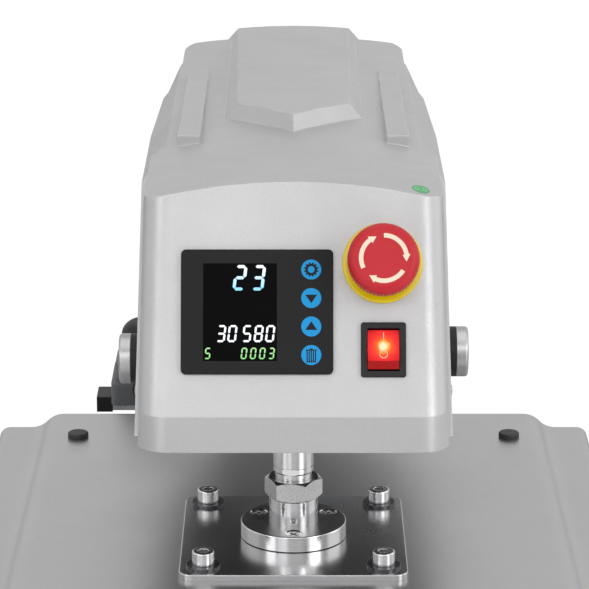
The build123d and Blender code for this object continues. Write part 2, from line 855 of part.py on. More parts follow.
# Swing arm: sleeve on the column, welded box arm and the plate that carries the cylinder
with BuildPart() as swing_arm:
    with BuildSketch(Plane.XY.offset(arm_bottom)):
        with Locations((0, (arm_front_y + column_y) / 2)):
            Rectangle(2 * arm_half_width, column_y - arm_front_y)
    extrude(amount=arm_plate_thickness)
    side_front_y = rod_y - cylinder_size / 2 - arm_side_margin
    for side in (-1, 1):
        with BuildSketch(Plane.XY.offset(arm_floor)):
            with Locations((side * (arm_half_width - arm_side_thickness / 2), (side_front_y + column_y) / 2)):
                Rectangle(arm_side_thickness, column_y - side_front_y)
        extrude(amount=arm_side_height)
    with BuildSketch(Plane.XY.offset(arm_side_top - arm_side_thickness)):
        with Locations((0, (column_y + arm_roof_y) / 2)):
            Rectangle(2 * arm_half_width, column_y - arm_roof_y)
    extrude(amount=arm_side_thickness)
    with BuildSketch(Plane.XY.offset(sleeve_bottom)):
        with Locations((0, column_y)):
            Circle(sleeve_radius)
    extrude(amount=sleeve_top - sleeve_bottom)
    with BuildSketch(Plane.XY.offset(sleeve_bottom)):
        with Locations((0, column_y)):
            Circle(sleeve_bore)
    extrude(amount=sleeve_top - sleeve_bottom, mode=Mode.SUBTRACT)
    with BuildSketch(Plane.XY.offset(sleeve_bottom)):
        with BuildLine():
            groove_arc = CenterArc((0, column_y), stop_circle, 180 - swing_range, swing_range)
        SlotArc(groove_arc, 2 * (stop_pin_radius + free_gap))
    extrude(amount=stop_groove_depth, mode=Mode.SUBTRACT)
    with BuildSketch(Plane.XY.offset(arm_bottom)):
        with Locations((0, rod_y)):
            Circle(rod_radius + rod_hole_margin)
            with GridLocations(cylinder_bolt_spacing, cylinder_bolt_spacing, 2, 2):
                Circle(m6_radius + seat_gap)
        with Locations((0, guide_y)):
            Circle(guide_bush_radius + seat_gap)
    extrude(amount=arm_plate_thickness, mode=Mode.SUBTRACT)
swing_arm.part.label = "swing_arm"
export_step(swing_arm.part, "parts/swing_arm.step")

# Two bronze bushes pressed into the sleeve
with BuildPart() as sleeve_bushes:
    for bush_z in (sleeve_bottom, sleeve_top - bush_length):
        with BuildSketch(Plane.XY.offset(bush_z)):
            with Locations((0, column_y)):
                Circle(sleeve_bore - seat_gap)
                Circle(column_radius + running_gap, mode=Mode.SUBTRACT)
        extrude(amount=bush_length)
sleeve_bushes.part.label = "sleeve_bushes"
export_step(sleeve_bushes.part, "parts/sleeve_bushes.step")


# The head cover is one outer form less the same form drawn in by its wall
def front_section(height, inset):
    """Outline of the head's front part at one height: its front edge follows the tilted panel."""
    rise = max(height - strip_top, 0)
    share = (height - head_bottom) / (roof_top - head_bottom)
    front_y = head_front_y + rise * tilt_slope + inset
    half_width = front_half_width + (front_half_width_top - front_half_width) * share - inset
    with BuildSketch(Plane.XY.offset(height)) as outline:
        with Locations((0, (front_y + taper_start_y) / 2)):
            Rectangle(2 * half_width, taper_start_y - front_y)
        fillet(outline.vertices().group_by(Axis.Y)[0], radius=front_corner_radius - inset)
    return outline.sketch


def wide_part(low, inset):
    """The wider part of the head behind the leaning seam, which narrows towards the back."""
    back = head_back_y - inset
    side = side_half_width - inset
    shoulder = rear_shoulder_half_width - inset
    rear = rear_half_width - inset
    seam_lean = (seam_top_y - seam_bottom_y) / roof_height
    seam_shift = inset * math.hypot(seam_lean, 1)
    seam_over = seam_top_y + seam_shift + seam_lean * (form_top - roof_top)
    with BuildPart() as form:
        with BuildSketch(Plane.XY.offset(low)) as plan:
            with BuildLine():
                Polyline(
                    (-side, seam_bottom_y), (side, seam_bottom_y), (side, taper_start_y),
                    (shoulder, rear_shoulder_y), (rear, taper_end_y), (rear, back), (-rear, back),
                    (-rear, taper_end_y), (-shoulder, rear_shoulder_y), (-side, taper_start_y), close=True,
                )
            make_face()
            fillet(plan.vertices().group_by(Axis.Y)[-1], radius=back_corner_radius - inset)
        extrude(amount=form_top - low)
        with BuildSketch(Plane.YZ.offset(-side_half_width - cut_past)):
            with BuildLine():
                Polyline(
                    (seam_bottom_y + seam_shift, head_bottom), (seam_over, form_top),
                    (seam_bottom_y - cut_reach, form_top), (seam_bottom_y - cut_reach, low - cut_past),
                    (seam_bottom_y + seam_shift, low - cut_past), close=True,
                )
            make_face()
        extrude(amount=2 * (side_half_width + cut_past), mode=Mode.SUBTRACT)
    return form.part


def shoulder_cut(hand, edge, edge_z, start_y, drop):
    """What a sloped shoulder takes off beside the roof panel, from one place to the back."""
    with BuildPart() as cut:
        with BuildSketch(Plane.XZ.offset(-start_y)):
            with BuildLine():
                Polyline(
                    (hand * edge, edge_z),
                    (hand * (edge + 2 * shoulder_width), edge_z - 2 * drop),
                    (hand * (edge + 2 * shoulder_width), form_top),
                    (hand * edge, form_top), close=True,
                )
            make_face()
        extrude(amount=-(head_back_y + cut_past - start_y))
    return cut.part


def shoulder_front(hand, edge, inset):
    """What the shoulder's diagonal front edge leaves standing."""
    lean = (shoulder_full_y - shoulder_front_y) / shoulder_diagonal
    inner = edge - cut_past
    front = shoulder_front_y - inset
    with BuildPart() as form:
        with BuildSketch(Plane.XY.offset(strip_top)):
            with BuildLine():
                Polyline(
                    (hand * inner, front - cut_past),
                    (hand * inner, shoulder_full_y - inset + lean * cut_past),
                    (hand * (edge + shoulder_diagonal + cut_past / lean), front - cut_past),
                    close=True,
                )
            make_face()
        extrude(amount=form_top - strip_top)
    return form.part


def head_form(inset):
    """Outer form of the head cover, with every face drawn in by the inset."""
    top = roof_top - inset
    back = head_back_y - inset
    low = head_bottom if inset == 0 else head_bottom - cut_past
    edge = panel_edge_half_width - inset
    edge_z = top - (crown_radius - math.sqrt(crown_radius**2 - panel_edge_half_width**2))
    wide = wide_part(low, inset)
    front_cuts = []
    for hand in (-1, 1):
        cut = shoulder_cut(hand, edge, edge_z, shoulder_front_y - inset, shoulder_drop)
        front_cuts.append(cut - shoulder_front(hand, edge, inset))
    rear_cuts = [
        shoulder_cut(hand, edge, edge_z, rear_shoulder_y - inset, rear_shoulder_drop) for hand in (-1, 1)
    ]
    with BuildPart() as form:
        loft(sections=[front_section(low, inset), front_section(strip_top, inset)], ruled=True)
        loft(sections=[front_section(strip_top, inset), front_section(form_top, inset)], ruled=True)
        add(wide)
        # crowned roof
        with BuildSketch(Plane.XZ.offset(cut_reach)):
            with Locations((0, roof_top - crown_radius)):
                Circle(crown_radius - inset)
            with Locations((0, low + cut_reach)):
                Rectangle(2 * (side_half_width + cut_past), 2 * cut_reach, mode=Mode.INTERSECT)
        extrude(amount=-2 * cut_reach, mode=Mode.INTERSECT)
        # back edge rolls down
        with BuildSketch(Plane.YZ.offset(-side_half_width - cut_past)) as profile:
            with Locations(((back - cut_reach) / 2, (low + top) / 2)):
                Rectangle(back + cut_reach, top - low)
            fillet(profile.vertices().group_by(Axis.Y)[-1].sort_by(Axis.X)[-1], radius=back_corner_radius)
        extrude(amount=2 * (side_half_width + cut_past), mode=Mode.INTERSECT)
        # sloped shoulders beside the roof panel
        for cut in front_cuts + rear_cuts:
            add(cut, mode=Mode.SUBTRACT)
    return form.part


def hood_outline(height, draw_in, inset):
    """Outline of the hood at one height: drawn in by its bevel, and by the inset square to its edges."""
    lean = (hood_corner_y - hood_nose_y) / hood_half_width
    nose_inset = inset * math.hypot(lean, 1)
    half_width = hood_half_width - draw_in - inset
    back_half_width = hood_back_half_width - draw_in - inset
    nose_y = hood_nose_y + draw_in * hood_nose_bevel / hood_bevel + nose_inset
    corner_y = hood_corner_y + nose_inset - lean * inset
    back = head_back_y - inset
    with BuildSketch(Plane.XY.offset(height)) as shape:
        with BuildLine():
            Polyline(
                (0, nose_y), (half_width, corner_y), (back_half_width, back),
                (-back_half_width, back), (-half_width, corner_y), close=True,
            )
        make_face()
    return shape.sketch


def hood_form(inset):
    """Raised hood with a pointed front on the roof panel; its top is crowned and falls to the back."""
    low = roof_top - hood_root
    high = roof_top + hood_height - inset
    root_spread = hood_bevel * hood_root / hood_height
    back = head_back_y - inset
    crown_plane = Plane(
        origin=(0, hood_nose_y, high),
        x_dir=(1, 0, 0),
        z_dir=(0, math.cos(math.radians(hood_fall)), -math.sin(math.radians(hood_fall))),
    )
    with BuildPart() as hood:
        loft(
            sections=[
                hood_outline(low, -root_spread, inset),
                hood_outline(high, hood_bevel * (high - roof_top) / hood_height, inset),
            ],
            ruled=True,
        )
        with BuildSketch(Plane.YZ.offset(-hood_back_half_width - cut_reach / 2)) as profile:
            with Locations((back / 2, (low + high) / 2)):
                Rectangle(back + cut_past, high - low)
            upper_back = profile.vertices().group_by(Axis.Y)[-1].sort_by(Axis.X)[-1]
            fillet(upper_back, radius=hood_back_round - inset)
        extrude(amount=2 * hood_back_half_width + cut_reach, mode=Mode.INTERSECT)
        with BuildSketch(crown_plane.offset(-cut_reach / 2)):
            with Locations((0, crown_radius)):
                Circle(crown_radius)
        extrude(amount=2 * cut_reach, mode=Mode.INTERSECT)
    return hood.part


head_outside = head_form(0)
head_inside = head_form(cover_wall)
hood_outside = hood_form(0)
hood_inside = hood_form(cover_wall)

panel_plane = Plane(
    origin=(0, head_front_y, strip_top),
    x_dir=(1, 0, 0),
    z_dir=(0, -math.cos(math.radians(panel_tilt)), math.sin(math.radians(panel_tilt))),
)

# Head cover: pressed sheet shell with a hood, two raised strakes and the openings of the controls
with BuildPart() as head_cover:
    add(head_outside)
    add(hood_outside)
    for strake_x in (-strake_inner_x - strake_width, strake_inner_x):
        with BuildSketch(Plane.YZ.offset(strake_x)):
            with BuildLine():
                Polyline(
                    (strake_front_y, roof_top - strake_root),
                    (strake_front_y, roof_top - strake_sink + strake_height),
                    (strake_back_y, roof_top - strake_sink),
                    (strake_back_y, roof_top - strake_root), close=True,
                )
            make_face()
        extrude(amount=strake_width)
    add(head_inside, mode=Mode.SUBTRACT)
    add(hood_inside, mode=Mode.SUBTRACT)
    with BuildSketch(panel_plane.offset(cover_wall)):
        with Locations((controller_u, controller_v)):
            Rectangle(
                controller_width - 2 * controller_body_inset + 2 * free_gap,
                controller_height - 2 * controller_body_inset + 2 * free_gap,
            )
        with Locations((stop_u, stop_v)):
            Circle(stop_barrel_radius + free_gap)
        with Locations((rocker_u, rocker_v)):
            Rectangle(
                rocker_width - 2 * rocker_body_inset + free_gap,
                rocker_height - 2 * rocker_body_inset + free_gap,
            )
    extrude(amount=-3 * cover_wall, mode=Mode.SUBTRACT)
    for hand, drop in ((1, 0), (-1, button_stagger)):
        with BuildSketch(Plane.YZ.offset(hand * (side_half_width - 2 * cover_wall))):
            with Locations((button_y, right_button_z - drop)):
                Circle(button_thread_radius + free_gap)
            with Locations(*[(y, cover_screw_z) for y in cover_screw_ys]):
                Circle(cover_screw_radius + free_gap)
        extrude(amount=hand * 3 * cover_wall, mode=Mode.SUBTRACT)
    with BuildSketch(Plane.YZ.offset(rear_half_width + cut_past)):
        with Locations((mains_gland_y, mains_gland_z)):
            Circle(gland_radius + seat_gap)
    extrude(amount=-2 * cover_wall, mode=Mode.SUBTRACT)
head_cover.part.label = "head_cover"
export_step(head_cover.part, "parts/head_cover.step")

# Sheet that closes the head below, with tabs for the cover's screws
with BuildPart() as head_bottom_plate:
    with BuildSketch(Plane.XY.offset(bottom_plate_z)) as sheet:
        with BuildLine():
            inner_side = side_half_width - cover_wall - free_gap
            inner_shoulder = rear_shoulder_half_width - cover_wall - free_gap
            inner_rear = rear_half_width - cover_wall - free_gap
            inner_front = front_half_width - cover_wall - free_gap
            inner_back = head_back_y - cover_wall - free_gap
            Polyline(
                (-inner_front, head_front_y + cover_wall + free_gap),
                (inner_front, head_front_y + cover_wall + free_gap),
                (inner_front, seam_bottom_y + sheet_front_step),
                (inner_side, seam_bottom_y + sheet_side_step),
                (inner_side, taper_start_y), (inner_shoulder, rear_shoulder_y), (inner_rear, taper_end_y),
                (inner_rear, inner_back), (-inner_rear, inner_back),
                (-inner_rear, taper_end_y), (-inner_shoulder, rear_shoulder_y), (-inner_side, taper_start_y),
                (-inner_side, seam_bottom_y + sheet_side_step),
                (-inner_front, seam_bottom_y + sheet_front_step), close=True,
            )
        make_face()
        fillet(sheet.vertices().group_by(Axis.Y)[-1], radius=back_corner_radius - cover_wall)
        fillet(sheet.vertices().group_by(Axis.Y)[0], radius=front_corner_radius - cover_wall)
        with Locations((0, rod_y)):
            Circle(rod_radius + rod_window_margin, mode=Mode.SUBTRACT)
        with Locations((0, guide_y)):
            Circle(guide_bush_radius + edge_break, mode=Mode.SUBTRACT)
        with Locations((0, column_y)):
            Circle(sleeve_radius + edge_break, mode=Mode.SUBTRACT)
        with Locations((heater_gland_x, heater_gland_y)):
            Circle(gland_radius + seat_gap, mode=Mode.SUBTRACT)
        with Locations((0, rod_y)):
            with GridLocations(cylinder_bolt_spacing, cylinder_bolt_spacing, 2, 2):
                Circle(cap_head_radius, mode=Mode.SUBTRACT)
    extrude(amount=bottom_plate_thickness)
    for hand in (-1, 1):
        with BuildSketch(Plane.XY.offset(bottom_plate_z + bottom_plate_thickness)):
            with Locations(*[
                (hand * (inner_side - bottom_plate_thickness / 2), y) for y in cover_screw_ys
            ]):
                Rectangle(bottom_plate_thickness, cover_tab_width)
        extrude(amount=cover_tab_height)
        with BuildSketch(Plane.YZ.offset(hand * (inner_side - bottom_plate_thickness - cut_past))):
            with Locations(*[(y, cover_screw_z) for y in cover_screw_ys]):
                Circle(cover_screw_radius + seat_gap)
        extrude(amount=hand * (bottom_plate_thickness + 2 * cut_past), mode=Mode.SUBTRACT)
head_bottom_plate.part.label = "head_bottom_plate"
export_step(head_bottom_plate.part, "parts/head_bottom_plate.step")

# Dome head screws of the cover, three on each side
with BuildPart() as cover_screws:
    for hand in (-1, 1):
        with BuildSketch(Plane.YZ.offset(hand * side_half_width)):
            with Locations(*[(y, cover_screw_z) for y in cover_screw_ys]):
                Circle(cover_screw_head_radius)
        extrude(amount=hand * cover_screw_head_height)
    fillet(
        cover_screws.faces().filter_by(Axis.X).filter_by(
            lambda face: abs(face.center().X) > side_half_width + cover_screw_head_height / 2
        ).edges(),
        radius=cover_screw_dome_radius,
    )
    for hand in (-1, 1):
        with BuildSketch(Plane.YZ.offset(hand * side_half_width)):
            with Locations(*[(y, cover_screw_z) for y in cover_screw_ys]):
                Circle(cover_screw_radius)
        extrude(amount=-hand * cover_screw_length)
cover_screws.part.label = "cover_screws"
export_step(cover_screws.part, "parts/cover_screws.step")

# Controller case: flat bezel on the panel and a box behind it
with BuildPart() as controller_case:
    with BuildSketch(panel_plane):
        with Locations((controller_u, controller_v)):
            RectangleRounded(controller_width, controller_height, controller_corner)
    extrude(amount=controller_proud)
    fillet(
        controller_case.faces().sort_by(Axis(panel_plane.origin, panel_plane.z_dir))[-1].edges(),
        radius=controller_proud / 4,
    )
    with BuildSketch(panel_plane):
        with Locations((controller_u, controller_v)):
            Rectangle(
                controller_width - 2 * controller_body_inset,
                controller_height - 2 * controller_body_inset,
            )
    extrude(amount=-controller_body_depth)
    with BuildSketch(panel_plane.offset(-controller_body_depth)):
        with Locations((controller_u, controller_v)):
            Rectangle(
                controller_width - 2 * controller_body_inset - 2 * controller_body_wall,
                controller_height - 2 * controller_body_inset - 2 * controller_body_wall,
            )
    extrude(amount=controller_body_depth - controller_body_wall / 2, mode=Mode.SUBTRACT)
    with BuildSketch(panel_plane.offset(controller_proud)):
        with Locations((screen_u, screen_v)):
            Rectangle(screen_width + 2 * seat_gap, screen_height + 2 * seat_gap)
    extrude(amount=-screen_thickness, mode=Mode.SUBTRACT)
controller_case.part.label = "controller_case"
export_step(controller_case.part, "parts/controller_case.step")

# Black display window, let into the bezel
with BuildPart() as controller_screen:
    with BuildSketch(panel_plane.offset(controller_proud - screen_thickness)):
        with Locations((screen_u, screen_v)):
            Rectangle(screen_width, screen_height)
    extrude(amount=screen_thickness)
controller_screen.part.label = "controller_screen"
export_step(controller_screen.part, "parts/controller_screen.step")

# Circuit board of the controller, in the open back of its case
with BuildPart() as controller_board:
    with BuildSketch(panel_plane.offset(-controller_body_depth + board_thickness)):
        with Locations((controller_u, controller_v)):
            Rectangle(
                controller_width - 2 * controller_body_inset - 2 * controller_body_wall - seat_gap,
                controller_height - 2 * controller_body_inset - 2 * controller_body_wall - seat_gap,
            )
    extrude(amount=board_thickness)
    with BuildSketch(panel_plane.offset(-controller_body_depth + 2 * board_thickness)):
        with Locations((controller_u, controller_v)):
            with GridLocations(chip_pitch_u, chip_pitch_v, 2, 2):
                Rectangle(chip_width, chip_depth)
    extrude(amount=chip_height)
controller_board.part.label = "controller_board"
export_step(controller_board.part, "parts/controller_board.step")

# Yellow disc under the stop mushroom
with BuildPart() as stop_disc:
    with BuildSketch(panel_plane):
        with Locations((stop_u, stop_v)):
            Circle(stop_disc_radius)
            Circle(stop_barrel_radius + seat_gap, mode=Mode.SUBTRACT)
    extrude(amount=stop_disc_thickness)
    fillet(
        stop_disc.faces().sort_by(Axis(panel_plane.origin, panel_plane.z_dir))[-1]
        .edges().sort_by(SortBy.LENGTH)[-1],
        radius=stop_disc_thickness / 3,
    )
stop_disc.part.label = "stop_disc"
export_step(stop_disc.part, "parts/stop_disc.step")

# Stop switch body: neck, threaded barrel, nut and contact block
with BuildPart() as stop_switch_body:
    with BuildSketch(panel_plane.offset(stop_disc_thickness)):
        with Locations((stop_u, stop_v)):
            Circle(stop_neck_radius)
    extrude(amount=stop_neck_height - stop_disc_thickness)
    with BuildSketch(panel_plane.offset(stop_disc_thickness)):
        with Locations((stop_u, stop_v)):
            Circle(stop_barrel_radius)
    extrude(amount=-(stop_disc_thickness + cover_wall + stop_nut_thickness))
    with BuildSketch(panel_plane.offset(-cover_wall - free_gap)):
        with Locations((stop_u, stop_v)):
            RegularPolygon(stop_nut_radius, 6)
    extrude(amount=-stop_nut_thickness)
    with BuildSketch(panel_plane.offset(-cover_wall - stop_nut_thickness)):
        with Locations((stop_u, stop_v)):
            Rectangle(stop_block_size, stop_block_size)
    extrude(amount=-stop_block_depth)
    with BuildSketch(panel_plane.offset(stop_neck_height)):
        with Locations((stop_u, stop_v)):
            Circle(spindle_radius + running_gap)
    extrude(amount=-(stop_neck_height + stop_block_depth), mode=Mode.SUBTRACT)
stop_switch_body.part.label = "stop_switch_body"
export_step(stop_switch_body.part, "parts/stop_switch_body.step")

# Spindle that carries the mushroom and pushes the contacts
spindle_top = mushroom_top - mushroom_wall
with BuildPart() as stop_spindle:
    with BuildSketch(panel_plane.offset(spindle_top)):
        with Locations((stop_u, stop_v)):
            Circle(spindle_radius)
    extrude(amount=-(spindle_top + stop_block_depth - stop_travel - stop_spare_travel))
stop_spindle.part.label = "stop_spindle"
export_step(stop_spindle.part, "parts/stop_spindle.step")

# Red stop mushroom with a serrated rim, hollow underneath
with BuildPart() as stop_mushroom:
    with BuildSketch(panel_plane.offset(mushroom_bottom)):
        with Locations((stop_u, stop_v)):
            Circle(mushroom_radius)
    extrude(amount=mushroom_top - mushroom_bottom)
    fillet(
        stop_mushroom.faces().sort_by(Axis(panel_plane.origin, panel_plane.z_dir))[-1].edges(),
        radius=mushroom_round,
    )
    with BuildSketch(panel_plane.offset(mushroom_bottom)):
        with Locations((stop_u, stop_v)):
            with PolarLocations(mushroom_radius, rim_groove_count):
                Circle(rim_groove_radius)
    extrude(amount=mushroom_top - mushroom_bottom, mode=Mode.SUBTRACT)
    with BuildSketch(panel_plane.offset(mushroom_bottom)):
        with Locations((stop_u, stop_v)):
            Circle(mushroom_recess_radius)
    extrude(amount=mushroom_recess_depth, mode=Mode.SUBTRACT)
    with BuildSketch(panel_plane.offset(mushroom_bottom)):
        with Locations((stop_u, stop_v)):
            Circle(spindle_radius + running_gap)
    extrude(amount=spindle_top - mushroom_bottom + running_gap, mode=Mode.SUBTRACT)
stop_mushroom.part.label = "stop_mushroom"
export_step(stop_mushroom.part, "parts/stop_mushroom.step")

# Rocker switch housing with its frame
rocker_pivot = panel_plane.from_local_coords((rocker_u, rocker_v, -rocker_pivot_depth))
with BuildPart() as rocker_housing:
    with BuildSketch(panel_plane):
        with Locations((rocker_u, rocker_v)):
            RectangleRounded(rocker_width, rocker_height, rocker_corner)
    extrude(amount=rocker_proud)
    fillet(
        rocker_housing.faces().sort_by(Axis(panel_plane.origin, panel_plane.z_dir))[-1].edges(),
        radius=rocker_round,
    )
    with BuildSketch(panel_plane):
        with Locations((rocker_u, rocker_v)):
            Rectangle(rocker_width - 2 * rocker_body_inset, rocker_height - 2 * rocker_body_inset)
    extrude(amount=-rocker_body_depth)
    with BuildSketch(panel_plane.offset(rocker_proud)):
        with Locations((rocker_u, rocker_v)):
            Rectangle(rocker_key_width + 2 * free_gap, rocker_key_height + 2 * rocker_key_gap)
    extrude(amount=-rocker_window_depth, mode=Mode.SUBTRACT)
    with BuildSketch(Plane.YZ.offset(rocker_u - rocker_width / 2 + rocker_body_inset + rocker_pin_margin)):
        with Locations((rocker_pivot.Y, rocker_pivot.Z)):
            Circle(rocker_pin_radius + running_gap)
    extrude(amount=rocker_width - 2 * rocker_body_inset - 2 * rocker_pin_margin, mode=Mode.SUBTRACT)
rocker_housing.part.label = "rocker_housing"
export_step(rocker_housing.part, "parts/rocker_housing.step")

# Rocker key, red and lit, tipped to its on side, with its pivot pins
with BuildPart() as rocker_key:
    key_plane = Plane(
        origin=panel_plane.from_local_coords((rocker_u - rocker_key_width / 2, rocker_v, 0)),
        x_dir=panel_plane.y_dir,
        z_dir=(1, 0, 0),
    )
    half_key = rocker_key_height / 2
    with BuildSketch(key_plane):
        with BuildLine():
            Polyline(
                (half_key, rocker_key_low),
                (rocker_crease_v, rocker_key_crease),
                (-half_key, rocker_key_foot),
                (-rocker_root_half, -rocker_key_depth),
                (rocker_root_half, -rocker_key_depth), close=True,
            )
        make_face()
    extrude(amount=rocker_key_width)
    with BuildSketch(key_plane.offset(-rocker_body_inset / 2)):
        with Locations((0, -rocker_pivot_depth)):
            Circle(rocker_pin_radius)
    extrude(amount=rocker_key_width + rocker_body_inset)
rocker_key.part.label = "rocker_key"
export_step(rocker_key.part, "parts/rocker_key.step")

# Start button bodies: black collar outside, threaded barrel and nut inside the cover
button_places = ((1, right_button_z), (-1, right_button_z - button_stagger))
bezel_base = side_half_width + button_collar_height
bezel_face = bezel_base + button_bezel_height
with BuildPart() as start_button_bodies:
    for hand, z in button_places:
        with BuildSketch(Plane.YZ.offset(hand * side_half_width)):
            with Locations((button_y, z)):
                Circle(button_radius)
        extrude(amount=hand * button_collar_height)
        with BuildSketch(Plane.YZ.offset(hand * side_half_width)):
            with Locations((button_y, z)):
                Circle(button_thread_radius)
        extrude(amount=-hand * button_body_depth)
        with BuildSketch(Plane.YZ.offset(hand * (side_half_width - cover_wall))):
            with Locations((button_y, z)):
                Circle(button_nut_radius)
        extrude(amount=-hand * stop_nut_thickness)
        with BuildSketch(Plane.YZ.offset(hand * bezel_base)):
            with Locations((button_y, z)):
                Circle(plunger_radius + running_gap)
        extrude(amount=-hand * plunger_well_depth, mode=Mode.SUBTRACT)
start_button_bodies.part.label = "start_button_bodies"
export_step(start_button_bodies.part, "parts/start_button_bodies.step")

# Silver bezel rings of the start buttons
with BuildPart() as start_button_bezels:
    for hand, z in button_places:
        with BuildSketch(Plane.YZ.offset(hand * bezel_base)):
            with Locations((button_y, z)):
                Circle(button_radius)
                Circle(plunger_radius + running_gap, mode=Mode.SUBTRACT)
        extrude(amount=hand * button_bezel_height)
    fillet(
        start_button_bezels.edges().filter_by(GeomType.CIRCLE).filter_by(
            lambda edge: abs(edge.center().X) > bezel_base + button_bezel_height / 2
            and edge.radius > plunger_radius + 1
        ),
        radius=bezel_round,
    )
start_button_bezels.part.label = "start_button_bezels"
export_step(start_button_bezels.part, "parts/start_button_bezels.step")

# Left start plunger
with BuildPart() as left_start_plunger:
    with BuildSketch(Plane.YZ.offset(-bezel_face + plunger_sink)):
        with Locations((button_y, right_button_z - button_stagger)):
            Circle(plunger_radius)
    extrude(amount=plunger_length)
    fillet(left_start_plunger.edges().group_by(Axis.X)[0], radius=edge_break)
left_start_plunger.part.label = "left_start_plunger"
export_step(left_start_plunger.part, "parts/left_start_plunger.step")

# Right start plunger
with BuildPart() as right_start_plunger:
    with BuildSketch(Plane.YZ.offset(bezel_face - plunger_sink)):
        with Locations((button_y, right_button_z)):
            Circle(plunger_radius)
    extrude(amount=-plunger_length)
    fillet(right_start_plunger.edges().group_by(Axis.X)[-1], radius=edge_break)
right_start_plunger.part.label = "right_start_plunger"
export_step(right_start_plunger.part, "parts/right_start_plunger.step")

# Cylinder barrel, square outside and round inside
with BuildPart() as cylinder_barrel:
    with BuildSketch(Plane.XY.offset(barrel_bottom)):
        with Locations((0, rod_y)):
            RectangleRounded(cylinder_size, cylinder_size, cylinder_corner)
            Circle(cylinder_bore_radius, mode=Mode.SUBTRACT)
            with GridLocations(cylinder_bolt_spacing, cylinder_bolt_spacing, 2, 2):
                Circle(m6_radius + free_gap, mode=Mode.SUBTRACT)
    extrude(amount=barrel_length)
cylinder_barrel.part.label = "cylinder_barrel"
export_step(cylinder_barrel.part, "parts/cylinder_barrel.step")

# End caps of the cylinder; the lower one guides the rod
with BuildPart() as cylinder_end_caps:
    with BuildSketch(Plane.XY.offset(arm_floor)):
        with Locations((0, rod_y)):
            RectangleRounded(cylinder_size, cylinder_size, cylinder_corner)
            Circle(rod_radius + running_gap, mode=Mode.SUBTRACT)
            with GridLocations(cylinder_bolt_spacing, cylinder_bolt_spacing, 2, 2):
                Circle(m6_radius + free_gap, mode=Mode.SUBTRACT)
    extrude(amount=cylinder_cap_height)
    with BuildSketch(Plane.XY.offset(barrel_top)):
        with Locations((0, rod_y)):
            RectangleRounded(cylinder_size, cylinder_size, cylinder_corner)
            with GridLocations(cylinder_bolt_spacing, cylinder_bolt_spacing, 2, 2):
                Circle(m6_radius + free_gap, mode=Mode.SUBTRACT)
    extrude(amount=cylinder_cap_height)
cylinder_end_caps.part.label = "cylinder_end_caps"
export_step(cylinder_end_caps.part, "parts/cylinder_end_caps.step")

# Long bolts through the cylinder into the arm's plate
with BuildPart() as cylinder_bolts:
    with BuildSketch(Plane.XY.offset(cylinder_top)):
        with Locations((0, rod_y)):
            with GridLocations(cylinder_bolt_spacing, cylinder_bolt_spacing, 2, 2):
                Circle(m6_head_radius)
    extrude(amount=m6_head_height)
    with BuildSketch(Plane.XY.offset(cylinder_top)):
        with Locations((0, rod_y)):
            with GridLocations(cylinder_bolt_spacing, cylinder_bolt_spacing, 2, 2):
                Circle(m6_radius)
    extrude(amount=-(cylinder_top - arm_bottom))
cylinder_bolts.part.label = "cylinder_bolts"
export_step(cylinder_bolts.part, "parts/cylinder_bolts.step")

# Flanged bush of the guide rod, in the arm's plate
with BuildPart() as guide_bush:
    with BuildSketch(Plane.XY.offset(arm_bottom)):
        with Locations((0, guide_y)):
            Circle(guide_bush_radius)
            Circle(guide_radius + running_gap, mode=Mode.SUBTRACT)
    extrude(amount=guide_bush_length)
guide_bush.part.label = "guide_bush"
export_step(guide_bush.part, "parts/guide_bush.step")

# Piston on the rod's upper spigot
with BuildPart() as piston:
    with BuildSketch(Plane.XY.offset(piston_bottom)):
        with Locations((0, rod_y)):
            Circle(cylinder_bore_radius - running_gap)
            Circle(rod_spigot_radius + seat_gap, mode=Mode.SUBTRACT)
    extrude(amount=piston_thickness)
    for groove_z in (piston_bottom + piston_groove, piston_top - 2 * piston_groove):
        with BuildSketch(Plane.XY.offset(groove_z)):
            with Locations((0, rod_y)):
                Circle(cylinder_bore_radius)
                Circle(cylinder_bore_radius - piston_groove, mode=Mode.SUBTRACT)
        extrude(amount=piston_groove, mode=Mode.SUBTRACT)
piston.part.label = "piston"
export_step(piston.part, "parts/piston.step")

# Piston rod: threaded end in the hub, neck and wrench flats above the nut, spigot in the piston
with BuildPart() as piston_rod:
    with BuildSketch(Plane.XZ.offset(-rod_y)):
        with BuildLine():
            flat_bottom = nut_top + neck_height
            groove_z = flat_bottom + wrench_flat_height
            Polyline(
                (0, plate_top + edge_break), (rod_thread_radius, plate_top + edge_break),
                (rod_thread_radius, nut_top), (neck_radius, nut_top),
                (neck_radius, flat_bottom), (rod_radius, flat_bottom + edge_break),
                (rod_radius, groove_z), (rod_radius - rod_groove_depth, groove_z),
                (rod_radius - rod_groove_depth, groove_z + rod_groove_width),
                (rod_radius, groove_z + rod_groove_width),
                (rod_radius, piston_bottom), (rod_spigot_radius, piston_bottom),
                (rod_spigot_radius, piston_top - edge_break), (0, piston_top - edge_break), close=True,
            )
        make_face()
    revolve(axis=Axis((0, rod_y, 0), (0, 0, 1)))
    with Locations(Location((0, rod_y, flat_bottom), (0, 0, -wrench_flat_turn))):
        with GridLocations(0, 2 * (2 * rod_radius - wrench_flat_depth), 1, 2):
            Box(
                2 * rod_radius, 2 * rod_radius, wrench_flat_height,
                align=(Align.CENTER, Align.CENTER, Align.MIN), mode=Mode.SUBTRACT,
            )
piston_rod.part.label = "piston_rod"
export_step(piston_rod.part, "parts/piston_rod.step")



